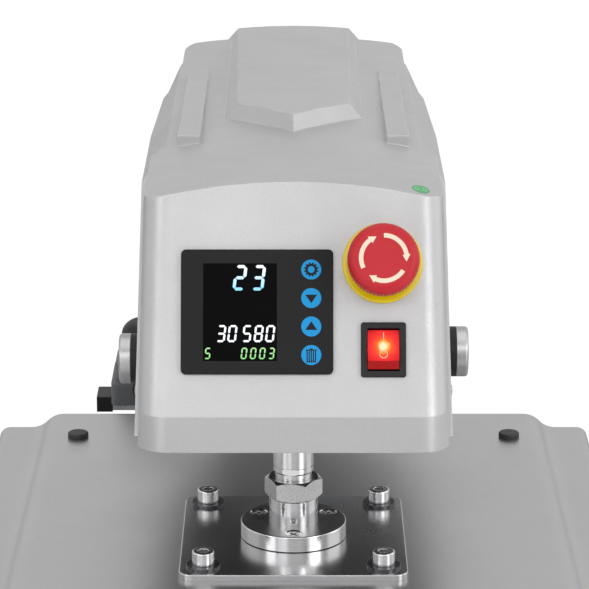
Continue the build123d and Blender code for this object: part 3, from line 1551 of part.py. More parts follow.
def nut_rounding():
    """Turned form that rounds the corners of the lock nut."""
    flat = nut_across_flats / 2
    corner = flat / math.cos(math.radians(30))
    bevel = (corner - flat + nut_bevel) * math.tan(math.radians(30))
    with BuildPart() as form:
        with BuildSketch(Plane.XZ.offset(-rod_y)):
            with BuildLine():
                Polyline(
                    (0, hub_top), (flat - nut_bevel, hub_top), (corner, hub_top + bevel),
                    (corner, nut_top - bevel), (flat - nut_bevel, nut_top), (0, nut_top), close=True,
                )
            make_face()
        revolve(axis=Axis((0, rod_y, 0), (0, 0, 1)))
    return form.part


nut_form = nut_rounding()

# Lock nut on the rod's thread
with BuildPart() as rod_nut:
    with BuildSketch(Plane.XY.offset(hub_top)):
        with Locations(Location((0, rod_y, 0), (0, 0, -nut_turn))):
            RegularPolygon(nut_across_flats / 2, 6, major_radius=False)
    extrude(amount=nut_height)
    add(nut_form, mode=Mode.INTERSECT)
    with BuildSketch(Plane.XY.offset(hub_top)):
        with Locations((0, rod_y)):
            Circle(rod_thread_radius + seat_gap)
    extrude(amount=nut_height, mode=Mode.SUBTRACT)
rod_nut.part.label = "rod_nut"
export_step(rod_nut.part, "parts/rod_nut.step")

# Hub flange: turned disc and boss, threaded for the rod
with BuildPart() as hub_flange:
    with BuildSketch(Plane.XY.offset(plate_top)):
        with Locations((0, rod_y)):
            Circle(flange_radius)
    extrude(amount=flange_thickness)
    fillet(hub_flange.edges().group_by(Axis.Z)[-1], radius=flange_round)
    with BuildSketch(Plane.XY.offset(plate_top + flange_thickness)):
        with Locations((0, rod_y)):
            Circle(hub_radius)
    extrude(amount=hub_height - flange_thickness)
    chamfer(hub_flange.edges().group_by(Axis.Z)[-1], length=hub_chamfer)
    with BuildSketch(Plane.XY.offset(plate_top)):
        with Locations((0, rod_y)):
            Circle(rod_thread_radius + seat_gap)
            with PolarLocations(hub_screw_circle / 2, hub_screw_count, start_angle=-90):
                Circle(m6_radius + seat_gap)
    extrude(amount=hub_height, mode=Mode.SUBTRACT)
    with BuildSketch(Plane.XY.offset(plate_top + flange_thickness)):
        with Locations((0, rod_y)):
            with PolarLocations(hub_screw_circle / 2, hub_screw_count, start_angle=-90):
                Circle(hub_screw_head_radius + seat_gap)
    extrude(amount=-(hub_screw_head_radius - m6_radius), taper=45, mode=Mode.SUBTRACT)
hub_flange.part.label = "hub_flange"
export_step(hub_flange.part, "parts/hub_flange.step")

# Countersunk cross-recess screws of the hub flange
with BuildPart() as hub_screws:
    hub_screw_rim = hub_screw_head_radius - hub_screw_recess
    with Locations((0, rod_y, plate_top + flange_thickness - hub_screw_recess)):
        with PolarLocations(hub_screw_circle / 2, hub_screw_count, start_angle=-90):
            Cone(
                m6_radius, hub_screw_rim, hub_screw_rim - m6_radius,
                align=(Align.CENTER, Align.CENTER, Align.MAX),
            )
            Cylinder(
                m6_radius, flange_thickness + plate_thickness - hub_screw_thread_gap,
                align=(Align.CENTER, Align.CENTER, Align.MAX),
            )
            Box(
                cross_width, cross_length, cross_depth, rotation=(0, 0, 45),
                align=(Align.CENTER, Align.CENTER, Align.MAX), mode=Mode.SUBTRACT,
            )
            Box(
                cross_width, cross_length, cross_depth, rotation=(0, 0, -45),
                align=(Align.CENTER, Align.CENTER, Align.MAX), mode=Mode.SUBTRACT,
            )
hub_screws.part.label = "hub_screws"
export_step(hub_screws.part, "parts/hub_screws.step")

# Square mounting plate
with BuildPart() as mounting_plate:
    with BuildSketch(Plane.XY.offset(cover_top)):
        with Locations((0, rod_y)):
            RectangleRounded(plate_size, plate_size, plate_corner_radius)
            with GridLocations(plate_screw_spacing, plate_screw_spacing, 2, 2):
                Circle(m8_radius + free_gap, mode=Mode.SUBTRACT)
            with PolarLocations(hub_screw_circle / 2, hub_screw_count, start_angle=-90):
                Circle(m6_radius + seat_gap, mode=Mode.SUBTRACT)
        with Locations((0, guide_y)):
            Circle(guide_screw_radius + seat_gap, mode=Mode.SUBTRACT)
    extrude(amount=plate_thickness)
    chamfer(
        mounting_plate.edges().group_by(Axis.Z)[-1].filter_by(
            lambda edge: abs(edge.center().X) > plate_screw_spacing / 2
            or abs(edge.center().Y - rod_y) > plate_screw_spacing / 2 + m8_radius
        ),
        length=plate_chamfer,
    )
mounting_plate.part.label = "mounting_plate"
export_step(mounting_plate.part, "parts/mounting_plate.step")

# Washers under the plate's cap screws
with BuildPart() as plate_washers:
    with BuildSketch(Plane.XY.offset(plate_top)):
        with Locations((0, rod_y)):
            with GridLocations(plate_screw_spacing, plate_screw_spacing, 2, 2):
                Circle(washer_radius)
                Circle(m8_radius + free_gap, mode=Mode.SUBTRACT)
    extrude(amount=plate_washer_thickness)
    fillet(plate_washers.edges().group_by(Axis.Z)[-1], radius=washer_round)
plate_washers.part.label = "plate_washers"
export_step(plate_washers.part, "parts/plate_washers.step")

# Socket cap screws through plate, cover and standoffs into the heat platen
with BuildPart() as plate_screws:
    head_z = plate_top + plate_washer_thickness
    with BuildSketch(Plane.XY.offset(head_z)):
        with Locations((0, rod_y)):
            with GridLocations(plate_screw_spacing, plate_screw_spacing, 2, 2):
                Circle(cap_head_radius)
    extrude(amount=cap_head_height)
    fillet(plate_screws.edges().group_by(Axis.Z)[-1], radius=cap_head_round)
    with BuildSketch(Plane.XY.offset(head_z + cap_head_height)):
        with Locations((0, rod_y)):
            with GridLocations(plate_screw_spacing, plate_screw_spacing, 2, 2):
                RegularPolygon(cap_socket_hex / 2, 6, major_radius=False)
    extrude(amount=-cap_socket_depth, mode=Mode.SUBTRACT)
    with BuildSketch(Plane.XY.offset(head_z)):
        with Locations((0, rod_y)):
            with GridLocations(plate_screw_spacing, plate_screw_spacing, 2, 2):
                Circle(m8_radius)
    extrude(amount=-(head_z - platen_top + platen_thread_depth - edge_break))
plate_screws.part.label = "plate_screws"
export_step(plate_screws.part, "parts/plate_screws.step")


def cover_shape(inset):
    """Outer form of the platen cover, drawn in by the inset: flat top with a step down each side."""
    half = cover_half_width - inset
    top = cover_top - inset
    ledge = top - cover_slope_drop
    flat = cover_flat_half_width - inset / 2
    foot = flat + cover_slope_width
    edge_radius = cover_edge_radius - inset
    low = platen_top if inset == 0 else platen_top - cut_past
    depth = cover_depth - 2 * inset
    with BuildPart() as shape:
        with BuildSketch(Plane.XZ.offset(depth / 2 - rod_y)):
            with BuildLine():
                Line((0, top), (flat, top))
                TangentArc(
                    (flat, top), (flat + cover_slope_width / 2, top - cover_slope_drop / 2), tangent=(1, 0)
                )
                TangentArc(
                    (foot, ledge), (flat + cover_slope_width / 2, top - cover_slope_drop / 2), tangent=(-1, 0)
                )
                Line((foot, ledge), (half - edge_radius, ledge))
                TangentArc((half - edge_radius, ledge), (half, ledge - edge_radius), tangent=(1, 0))
                Line((half, ledge - edge_radius), (half, low))
                Line((half, low), (0, low))
                Line((0, low), (0, top))
            make_face()
            mirror(about=Plane.YZ)
        extrude(amount=-depth)
        fillet(
            shape.edges().filter_by(Axis.Z).group_by(Axis.X)[0]
            + shape.edges().filter_by(Axis.Z).group_by(Axis.X)[-1],
            radius=cover_corner_radius - inset,
        )
    return shape.part


cover_outside = cover_shape(0)
cover_inside = cover_shape(cover_sheet)

# Platen cover: folded stainless sheet over the insulation
with BuildPart() as platen_cover:
    add(cover_outside)
    add(cover_inside, mode=Mode.SUBTRACT)
    with BuildSketch(Plane.XY.offset(cover_top)):
        with Locations((0, rod_y)):
            with GridLocations(plate_screw_spacing, plate_screw_spacing, 2, 2):
                Circle(m8_radius + free_gap)
            with GridLocations(2 * plug_x, 2 * plug_y, 2, 2):
                Circle(plug_stem_radius + seat_gap)
        with Locations((0, guide_y)):
            Circle(guide_screw_radius + free_gap)
    extrude(amount=-cover_sheet, mode=Mode.SUBTRACT)
platen_cover.part.label = "platen_cover"
export_step(platen_cover.part, "parts/platen_cover.step")

# Black plugs in the cover's access holes
with BuildPart() as cover_plugs:
    with BuildSketch(Plane.XY.offset(cover_top)):
        with Locations((0, rod_y)):
            with GridLocations(2 * plug_x, 2 * plug_y, 2, 2):
                Circle(plug_radius)
    extrude(amount=plug_height)
    fillet(cover_plugs.edges().group_by(Axis.Z)[-1], radius=plug_height / 3)
    with BuildSketch(Plane.XY.offset(cover_top)):
        with Locations((0, rod_y)):
            with GridLocations(2 * plug_x, 2 * plug_y, 2, 2):
                Circle(plug_stem_radius)
    extrude(amount=-3 * cover_sheet)
cover_plugs.part.label = "cover_plugs"
export_step(cover_plugs.part, "parts/cover_plugs.step")

# Standoffs that carry the plate's load past the insulation
with BuildPart() as standoffs:
    with BuildSketch(Plane.XY.offset(platen_top)):
        with Locations((0, rod_y)):
            with GridLocations(plate_screw_spacing, plate_screw_spacing, 2, 2):
                Circle(standoff_radius)
                Circle(m8_radius + free_gap, mode=Mode.SUBTRACT)
    extrude(amount=cover_height - cover_sheet)
standoffs.part.label = "standoffs"
export_step(standoffs.part, "parts/standoffs.step")

# Insulation board between platen and cover
with BuildPart() as insulation_board:
    with BuildSketch(Plane.XY.offset(platen_top)):
        with Locations((0, rod_y)):
            RectangleRounded(
                platen_width - 2 * insulation_inset, platen_depth - 2 * insulation_inset,
                platen_corner_radius,
            )
            with GridLocations(plate_screw_spacing, plate_screw_spacing, 2, 2):
                Circle(standoff_radius + free_gap, mode=Mode.SUBTRACT)
        with Locations((probe_x, probe_y)):
            Circle(probe_head_hex, mode=Mode.SUBTRACT)
    extrude(amount=insulation_thickness)
insulation_board.part.label = "insulation_board"
export_step(insulation_board.part, "parts/insulation_board.step")


def heater_points():
    """Corners of the heater's zigzag, row by row from the front to the back."""
    points = []
    front = rod_y - heater_row_pitch * (heater_rows - 1) / 2
    for row in range(heater_rows):
        hand = 1 if row % 2 == 0 else -1
        y = front + row * heater_row_pitch
        points.append((-hand * heater_half_span, y))
        points.append((hand * heater_half_span, y))
    points[0] = (-heater_half_span - heater_tail, front)
    points[-1] = (points[-1][0] + math.copysign(heater_tail, points[-1][0]), points[-1][1])
    return points


# Tubular heater bedded in the platen
with BuildPart() as heating_element:
    with BuildLine(Plane.XY.offset(heater_z)):
        FilletPolyline(*heater_points(), radius=heater_bend_radius)
    with BuildSketch(Plane(origin=(*heater_points()[0], heater_z), z_dir=(1, 0, 0))):
        Circle(heater_radius)
    sweep()
heating_element.part.label = "heating_element"
export_step(heating_element.part, "parts/heating_element.step")

# Heat platen: cast aluminium, coated below, with the heater's channel on top
with BuildPart() as heat_platen:
    with BuildSketch(Plane.XY.offset(platen_face)):
        with Locations((0, rod_y)):
            RectangleRounded(platen_width, platen_depth, platen_corner_radius)
    extrude(amount=platen_thickness)
    chamfer(heat_platen.edges().group_by(Axis.Z)[0], length=edge_break)
    with BuildSketch(Plane.XY.offset(platen_top)):
        with BuildLine():
            FilletPolyline(*heater_points(), radius=heater_bend_radius)
        trace(line_width=2 * (heater_radius + heater_slot_gap))
    extrude(amount=-2 * (heater_radius + heater_slot_gap), mode=Mode.SUBTRACT)
    with BuildSketch(Plane.XY.offset(platen_top)):
        with Locations((0, rod_y)):
            with GridLocations(plate_screw_spacing, plate_screw_spacing, 2, 2):
                Circle(m8_radius + seat_gap)
        with Locations((probe_x, probe_y)):
            Circle(probe_radius + seat_gap)
    extrude(amount=-platen_thread_depth, mode=Mode.SUBTRACT)
heat_platen.part.label = "heat_platen"
export_step(heat_platen.part, "parts/heat_platen.step")

# Thermocouple screwed into the platen
with BuildPart() as thermocouple:
    with BuildSketch(Plane.XY.offset(platen_top)):
        with Locations((probe_x, probe_y)):
            RegularPolygon(probe_head_hex / 2, 6, major_radius=False)
    extrude(amount=probe_head_height)
    with BuildSketch(Plane.XY.offset(platen_top)):
        with Locations((probe_x, probe_y)):
            Circle(probe_radius)
    extrude(amount=-(platen_thread_depth - probe_bottom_gap))
thermocouple.part.label = "thermocouple"
export_step(thermocouple.part, "parts/thermocouple.step")

# Guide rod behind the piston rod, which keeps the platen square
with BuildPart() as guide_rod:
    with BuildSketch(Plane.XY.offset(plate_top)):
        with Locations((0, guide_y)):
            Circle(guide_radius)
    extrude(amount=guide_top - plate_top)
    chamfer(guide_rod.edges().group_by(Axis.Z)[-1], length=edge_break)
    with BuildSketch(Plane.XY.offset(plate_top)):
        with Locations((0, guide_y)):
            Circle(guide_screw_radius)
    extrude(amount=-(plate_thickness + cover_sheet))
guide_rod.part.label = "guide_rod"
export_step(guide_rod.part, "parts/guide_rod.step")

# Solid state relay on the arm's top plate
with BuildPart() as solid_state_relay:
    with BuildSketch(Plane.XY.offset(arm_side_top)):
        with Locations((0, relay_y)):
            RectangleRounded(relay_width, relay_length, moulding_radius)
    extrude(amount=relay_height)
    with BuildSketch(Plane.XY.offset(arm_side_top + relay_height)):
        with Locations((0, relay_y)):
            with GridLocations(
                relay_width - 2 * relay_terminal_inset, relay_length - 2 * relay_terminal_inset, 2, 2
            ):
                RectangleRounded(relay_terminal_width, relay_terminal_length, moulding_radius / 2)
    extrude(amount=relay_terminal_height)
solid_state_relay.part.label = "solid_state_relay"
export_step(solid_state_relay.part, "parts/solid_state_relay.step")

# Solenoid valve with its coil
with BuildPart() as solenoid_valve:
    with BuildSketch(Plane.XY.offset(arm_side_top)):
        with Locations((0, valve_y)):
            RectangleRounded(valve_width, valve_length, moulding_radius)
    extrude(amount=valve_height)
    with BuildSketch(Plane.XY.offset(arm_side_top + valve_height)):
        with Locations((0, valve_y + valve_length / 2 - coil_length / 2)):
            RectangleRounded(coil_width, coil_length, moulding_radius)
    extrude(amount=coil_height)
    with BuildSketch(Plane.XZ.offset(-(valve_y - valve_length / 2))):
        with Locations((0, arm_side_top + valve_height / 2)):
            with GridLocations(2 * valve_port_offset, 0, 2, 1):
                Circle(valve_port_radius)
    extrude(amount=-valve_port_depth, mode=Mode.SUBTRACT)
solenoid_valve.part.label = "solenoid_valve"
export_step(solenoid_valve.part, "parts/solenoid_valve.step")


def gland_form(seat, wall):
    """Cable gland that stands on the seat plane, with its threaded end through the wall behind it."""
    with BuildPart() as gland:
        with BuildSketch(seat):
            RegularPolygon(gland_hex / 2, 6, major_radius=False)
        extrude(amount=gland_length / 2)
        with BuildSketch(seat.offset(gland_length / 2)):
            Circle(gland_hex / 2 - edge_break)
        extrude(amount=gland_length / 2, taper=gland_taper)
        with BuildSketch(seat):
            Circle(gland_radius)
        extrude(amount=-(wall + gland_thread_length))
        with BuildSketch(seat.offset(gland_length)):
            Circle(gland_bore_radius)
        extrude(amount=-(gland_length + wall + gland_thread_length), mode=Mode.SUBTRACT)
    return gland.part


heater_gland = gland_form(
    Plane(origin=(heater_gland_x, heater_gland_y, bottom_plate_z), z_dir=(0, 0, -1)), bottom_plate_thickness
)
mains_gland = gland_form(
    Plane(origin=(rear_half_width, mains_gland_y, mains_gland_z), z_dir=(1, 0, 0)), cover_wall
)

# Cable glands: the heater lead's in the bottom plate, the mains lead's in the right side of the cover
with BuildPart() as cable_glands:
    add(heater_gland)
    add(mains_gland)
cable_glands.part.label = "cable_glands"
export_step(cable_glands.part, "parts/cable_glands.step")
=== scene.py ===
import math

import bpy
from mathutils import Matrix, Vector


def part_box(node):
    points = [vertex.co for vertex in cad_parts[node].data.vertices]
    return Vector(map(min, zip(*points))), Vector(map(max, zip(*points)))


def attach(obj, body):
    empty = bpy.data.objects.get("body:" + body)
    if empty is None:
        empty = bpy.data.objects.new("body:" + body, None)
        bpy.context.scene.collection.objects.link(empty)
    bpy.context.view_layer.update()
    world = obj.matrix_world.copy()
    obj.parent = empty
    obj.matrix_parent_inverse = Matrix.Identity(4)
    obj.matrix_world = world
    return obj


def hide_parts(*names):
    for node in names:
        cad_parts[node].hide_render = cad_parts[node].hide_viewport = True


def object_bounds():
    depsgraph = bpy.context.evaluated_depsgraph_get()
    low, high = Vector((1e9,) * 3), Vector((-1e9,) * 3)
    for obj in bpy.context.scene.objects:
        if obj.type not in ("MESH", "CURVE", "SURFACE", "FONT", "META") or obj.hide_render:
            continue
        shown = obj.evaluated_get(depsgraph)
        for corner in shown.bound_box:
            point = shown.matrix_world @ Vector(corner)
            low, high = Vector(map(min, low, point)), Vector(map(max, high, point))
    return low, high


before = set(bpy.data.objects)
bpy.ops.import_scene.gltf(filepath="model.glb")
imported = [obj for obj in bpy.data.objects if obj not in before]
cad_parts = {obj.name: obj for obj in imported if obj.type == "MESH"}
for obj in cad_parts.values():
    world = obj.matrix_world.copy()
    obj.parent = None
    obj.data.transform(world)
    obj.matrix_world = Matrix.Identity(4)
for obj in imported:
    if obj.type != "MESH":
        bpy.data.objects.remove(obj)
cad_low, cad_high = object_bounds()
mm = 0.001


# Base frame, stand and swing arm: rectangular steel tube and plate, welded together.
# They carry one light grey powder coat with a fine orange peel, rubbed duller on its corners.
def noise(tree, scale, stretch=(1, 1, 1), detail=2.0):
    """Noise in the piece's own coordinates, in metres; its features are about 1 / scale long."""
    place = tree.nodes.new("ShaderNodeTexCoord")
    mapping = tree.nodes.new("ShaderNodeMapping")
    mapping.inputs["Scale"].default_value = stretch
    made = tree.nodes.new("ShaderNodeTexNoise")
    made.inputs["Scale"].default_value = scale
    made.inputs["Detail"].default_value = detail
    tree.links.new(place.outputs["Object"], mapping.inputs["Vector"])
    tree.links.new(mapping.outputs["Vector"], made.inputs["Vector"])
    return made.outputs["Fac"]


def between(tree, fac, low, high, start=0.3, end=0.7):
    """A value that goes from low to high as the factor goes from start to end."""
    made = tree.nodes.new("ShaderNodeMapRange")
    made.inputs["From Min"].default_value = start
    made.inputs["From Max"].default_value = end
    made.inputs["To Min"].default_value = low
    made.inputs["To Max"].default_value = high
    tree.links.new(fac, made.inputs["Value"])
    return made.outputs["Result"]


def sum_of(tree, first, second, operation="ADD"):
    """Two factors added, or combined another way."""
    made = tree.nodes.new("ShaderNodeMath")
    made.operation = operation
    tree.links.new(first, made.inputs[0])
    tree.links.new(second, made.inputs[1])
    return made.outputs["Value"]


def blend_colours(tree, fac, first, second):
    """A colour between two, each a colour or a socket, by a factor."""
    made = tree.nodes.new("ShaderNodeMix")
    made.data_type = "RGBA"
    tree.links.new(fac, made.inputs["Factor"])
    for socket, colour in ((made.inputs["A"], first), (made.inputs["B"], second)):
        if isinstance(colour, tuple):
            socket.default_value = (*colour, 1)
        else:
            tree.links.new(colour, socket)
    return made.outputs["Result"]


def surface(
    name, colours, gloss, grain, depth, stretch=(1, 1, 1), metal=0.0,
    edge=0.5 * mm, mottle=9.0, speck=0.0, edge_colour_worn_and_highlit=None, edge_span_worn_and_highlit=(0.97, 0.8),
):
    """A finish of two mottled colours, uneven gloss, fine bumps and softened edges; depth is in metres.

    Speck is how much of the mottle comes from the grain; the edge colour goes on rubbed edges, and on the
    head cover it is a painted highlight.
    """
    made = bpy.data.materials.new(name)
    made.use_nodes = True
    tree = made.node_tree
    shader = tree.nodes["Principled BSDF"]
    shader.inputs["Metallic"].default_value = metal
    cloud = between(tree, noise(tree, mottle, detail=3.0), 0, 1 - speck)
    fine = noise(tree, grain, stretch)
    share = sum_of(tree, cloud, between(tree, fine, 0, speck))
    colour = blend_colours(tree, share, colours[0], colours[1])
    smudge = between(tree, noise(tree, 4 * mottle, detail=4.0), -0.03, 0.03)
    tree.links.new(sum_of(tree, between(tree, fine, gloss[0], gloss[1]), smudge), shader.inputs["Roughness"])
    bump = tree.nodes.new("ShaderNodeBump")
    bump.inputs["Distance"].default_value = depth
    tree.links.new(fine, bump.inputs["Height"])
    if edge:
        rounding = tree.nodes.new("ShaderNodeBevel")
        rounding.samples = 6
        rounding.inputs["Radius"].default_value = edge
        tree.links.new(rounding.outputs["Normal"], bump.inputs["Normal"])
        # The edge colour marks rubbed edges on most finishes and is a painted highlight on the head cover.
        if edge_colour_worn_and_highlit:
            flat = tree.nodes.new("ShaderNodeNewGeometry")
            likeness = tree.nodes.new("ShaderNodeVectorMath")
            likeness.operation = "DOT_PRODUCT"
            tree.links.new(rounding.outputs["Normal"], likeness.inputs[0])
            tree.links.new(flat.outputs["Normal"], likeness.inputs[1])
            edge_share_worn_and_highlit = between(tree, likeness.outputs["Value"], 0, 1, edge_span_worn_and_highlit[0], edge_span_worn_and_highlit[1])
            patches = between(tree, noise(tree, 60, detail=4.0), 0.2, 1, 0.4, 0.65)
            colour = blend_colours(tree, sum_of(tree, edge_share_worn_and_highlit, patches, "MULTIPLY"), colour, edge_colour_worn_and_highlit)
    tree.links.new(colour, shader.inputs["Base Color"])
    tree.links.new(bump.outputs["Normal"], shader.inputs["Normal"])
    return made


def dress(finish, *names):
    """Gives nodes of the model their finish."""
    for node in names:
        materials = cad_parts[node].data.materials
        materials.clear()
        materials.append(finish)


powder_coat = surface(
    "powder_coat", colours=[(0.60, 0.61, 0.62), (0.55, 0.56, 0.57)], gloss=(0.36, 0.5),
    grain=1300, depth=0.05 * mm, edge=0.8 * mm, speck=0.3, edge_colour_worn_and_highlit=(0.42, 0.43, 0.44),
)
dress(powder_coat, "base_frame", "lower_stand", "swing_arm")


# Weld beads where the plates and uprights of the frame meet: laid by hand, so the ripples show.
# The powder coat runs over them.
def piece(name, vertices, faces, body, finish, smooth=False):
    """A mesh piece that rides on a body and takes the finish it is given."""
    mesh = bpy.data.meshes.new(name)
    mesh.from_pydata([tuple(vertex) for vertex in vertices], [], [tuple(face) for face in faces])
    mesh.materials.append(finish)
    for polygon in mesh.polygons:
        polygon.use_smooth = smooth
    made = bpy.data.objects.new(name, mesh)
    bpy.context.scene.collection.objects.link(made)
    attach(made, body)
    return made


weld_leg = 3.5 * mm
weld_root = 0.4 * mm
weld_ripple = 1.6 * mm
weld_steps_per_ripple = 4
weld_arc_points = 5


def weld_beads(name, body, seams):
    """Fillet welds; each seam is its start, its end and the two directions of the surfaces that it joins."""
    vertices = []
    faces = []
    for start, end, first_leg, second_leg in seams:
        start = Vector(start)
        run = Vector(end) - start
        count = max(2, round(run.length / weld_ripple) * weld_steps_per_ripple)
        ring = weld_arc_points + 1
        base = len(vertices)
        for step in range(count + 1):
            share = step / count
            ripple = abs(math.sin(math.pi * step / weld_steps_per_ripple))
            end_taper = min(1, 8 * share, 8 * (1 - share)) ** 0.5
            leg = weld_leg * (0.82 + 0.18 * ripple) * max(end_taper, 0.15)
            centre = start + run * share
            vertices.append(centre - (Vector(first_leg) + Vector(second_leg)) * weld_root)
            for point in range(weld_arc_points):
                turn = math.pi / 2 * point / (weld_arc_points - 1)
                first_reach = Vector(first_leg) * leg * math.cos(turn)
                second_reach = Vector(second_leg) * leg * math.sin(turn)
                vertices.append(centre + first_reach + second_reach)
        for step in range(count):
            for point in range(ring):
                here = base + step * ring + point
                beside = base + step * ring + (point + 1) % ring
                faces.append((here, beside, beside + ring, here + ring))
        faces.append(range(base, base + ring))
        faces.append(range(base + count * ring, base + (count + 1) * ring))
    return piece(name, vertices, faces, body, powder_coat, smooth=True)


rail_top = 58 * mm
rail_outer = 175 * mm
rail_inner = 125 * mm
column_plate_front = 185 * mm
column_plate_back = 315 * mm
column_plate_corner = 12 * mm
seam_start = 3 * mm
seam_stop = 6 * mm
left = (-1, 0, 0)
right = (1, 0, 0)
front = (0, -1, 0)
back = (0, 1, 0)
up = (0, 0, 1)
frame_seams = []
for side in (-1, 1):
    inner_end = side * (rail_inner + seam_start)
    outer_end = side * (rail_outer - column_plate_corner)
    for seam_y, away in ((column_plate_front, front), (column_plate_back, back)):
        frame_seams.append(((inner_end, seam_y, rail_top), (outer_end, seam_y, rail_top), away, up))
rod_y = (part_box("heat_platen")[0].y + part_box("heat_platen")[1].y) / 2
cross_offset = 120 * mm
cross_half = 25 * mm
cross_foot = 20 * mm
for side in (-1, 1):
    for end in (-1, 1):
        for face, away in ((-1, front), (1, back)):
            seam_y = rod_y + end * cross_offset + face * cross_half
            seam_x = side * rail_inner
            low_end = (seam_x, seam_y, cross_foot + seam_start)
            high_end = (seam_x, seam_y, rail_top - seam_stop)
            frame_seams.append((low_end, high_end, away, left if side > 0 else right))
weld_beads("frame_welds", "base", frame_seams)
foot_plate_top = 64 * mm
stand_plate_bottom = 135 * mm
upright_half_width = 30 * mm
upright_half_depth = 20 * mm
upright_corner = 5 * mm
stand_seams = []
for end in (-1, 1):
    centre_y = rod_y + end * cross_offset
    for height, leg in ((foot_plate_top, up), (stand_plate_bottom, (0, 0, -1))):
        for face, away in ((-1, front), (1, back)):
            seam_y = centre_y + face * upright_half_depth
            reach = upright_half_width - upright_corner
            stand_seams.append(((-reach, seam_y, height), (reach, seam_y, height), away, leg))
        for side, away in ((-1, left), (1, right)):
            seam_x = side * upright_half_width
            reach = upright_half_depth - upright_corner
            ends = [(seam_x, centre_y + way * reach, height) for way in (-1, 1)]
            stand_seams.append((*ends, away, leg))
weld_beads("stand_welds", "base", stand_seams)

# End caps of the rails, moulded in black with a fine spark-eroded grain and pressed into the tubes.
# The gland nuts on the head are the same plastic.
moulded_black = surface(
    "moulded_black", colours=[(0.012, 0.012, 0.013), (0.018, 0.018, 0.019)], gloss=(0.4, 0.54),
    grain=2600, depth=0.03 * mm, edge_colour_worn_and_highlit=(0.05, 0.05, 0.052),
)
moulded_black.node_tree.nodes["Principled BSDF"].inputs["Specular IOR Level"].default_value = 0.22
dress(moulded_black, "rail_end_caps", "bracket_end_cap", "cable_glands")

# Rubber feet under the rails: moulded in black, dull, with a paler bloom in patches.
black_rubber = surface(
    "black_rubber", colours=[(0.012, 0.012, 0.012), (0.026, 0.025, 0.024)], gloss=(0.5, 0.68),
    grain=1400, depth=0.05 * mm, speck=0.4,
)
dress(black_rubber, "rubber_feet")

# Hexagon bolts of the stand and of the column: steel with a bluish zinc plate.
# The bracket of the regulator and the small screws in the head have the same plating.
zinc = surface(
    "zinc", colours=[(0.60, 0.61, 0.64), (0.48, 0.50, 0.53)], gloss=(0.25, 0.42),
    grain=700, depth=0.02 * mm, metal=1.0, edge=0.3 * mm, mottle=60, edge_colour_worn_and_highlit=(0.75, 0.76, 0.78),
)
dress(zinc, "stand_bolts", "column_bolts", "regulator_bracket", "cylinder_bolts", "thermocouple")

# Lower platen: aluminium plate, milled on both faces in one direction.
# Cylinder, piston and heat platen have the same milled or turned look.
machined_aluminium = surface(
    "machined_aluminium", colours=[(0.70, 0.70, 0.71), (0.62, 0.62, 0.63)], gloss=(0.26, 0.4),
    grain=60, depth=0.02 * mm, stretch=(1, 40, 40), metal=1.0, edge_colour_worn_and_highlit=(0.8, 0.8, 0.8),
)
dress(machined_aluminium, "lower_platen", "cylinder_barrel", "cylinder_end_caps", "piston")


# Pad on the lower platen: a slab of closed cell silicone sponge, cut with a knife and laid on.
# Its skin is matt and finely pored, its cut sides pull in a little, and its top is barely crowned.
def pored_sponge():
    """Brick red silicone sponge with small open pores."""
    made = surface(
        "pored_sponge", colours=[(0.42, 0.07, 0.045), (0.36, 0.055, 0.035)], gloss=(0.62, 0.8),
        grain=900, depth=0.12 * mm, edge=0,
    )
    tree = made.node_tree
    shader = tree.nodes["Principled BSDF"]
    shader.inputs["Sheen Weight"].default_value = 0.15
    place = tree.nodes.new("ShaderNodeTexCoord")
    pores = tree.nodes.new("ShaderNodeTexVoronoi")
    pores.inputs["Scale"].default_value = 420
    tree.links.new(place.outputs["Object"], pores.inputs["Vector"])
    pits = tree.nodes.new("ShaderNodeBump")
    pits.inputs["Distance"].default_value = 0.25 * mm
    tree.links.new(between(tree, pores.outputs["Distance"], 0, 1, 0.05, 0.3), pits.inputs["Height"])
    tree.links.new(shader.inputs["Normal"].links[0].from_socket, pits.inputs["Normal"])
    tree.links.new(pits.outputs["Normal"], shader.inputs["Normal"])
    return made


def rounded_outline(half_width, half_depth, corner, inset, steps=8):
    """Points of a rectangle with round corners about the rod's axis, drawn in by the inset."""
    points = []
    for turn, (side, end) in enumerate(((1, 1), (-1, 1), (-1, -1), (1, -1))):
        centre = Vector((side * (half_width - corner), rod_y + end * (half_depth - corner)))
        for step in range(steps + 1):
            angle = math.pi / 2 * (turn + step / steps)
            reach = max(corner - inset, 0.5 * mm)
            points.append(centre + Vector((math.cos(angle), math.sin(angle))) * reach)
    return points


pad_low, pad_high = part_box("silicone_pad")
pad_corner = 10 * mm
top_edge_inset = 4.0 * mm
top_edge_level = 0.985
crown_level = 0.01
pad_half_width = (pad_high.x - pad_low.x) / 2
pad_half_depth = (pad_high.y - pad_low.y) / 2
pad_rise = pad_high.z - pad_low.z
pad_levels = [
    (0.9 * mm, 0.0), (0.3 * mm, 0.08), (0.7 * mm, 0.3), (1.0 * mm, 0.5), (0.7 * mm, 0.72), (0.3 * mm, 0.9),
    (1.1 * mm, 0.975), (top_edge_inset, top_edge_level),
]
pad_vertices = []
pad_faces = []
for inset, level in pad_levels:
    for point in rounded_outline(pad_half_width, pad_half_depth, pad_corner, inset):
        pad_vertices.append(Vector((point.x, point.y, pad_low.z + level * pad_rise)))
ring_size = len(pad_vertices) // len(pad_levels)
top_scales = [0.9, 0.7, 0.4, 0.15]
outline = rounded_outline(pad_half_width, pad_half_depth, pad_corner, top_edge_inset)
for place, scale in enumerate(top_scales):
    level = top_edge_level + crown_level * (place + 1) / len(top_scales)
    for point in outline:
        pad_vertices.append(
            Vector((point.x * scale, rod_y + (point.y - rod_y) * scale, pad_low.z + level * pad_rise))
        )
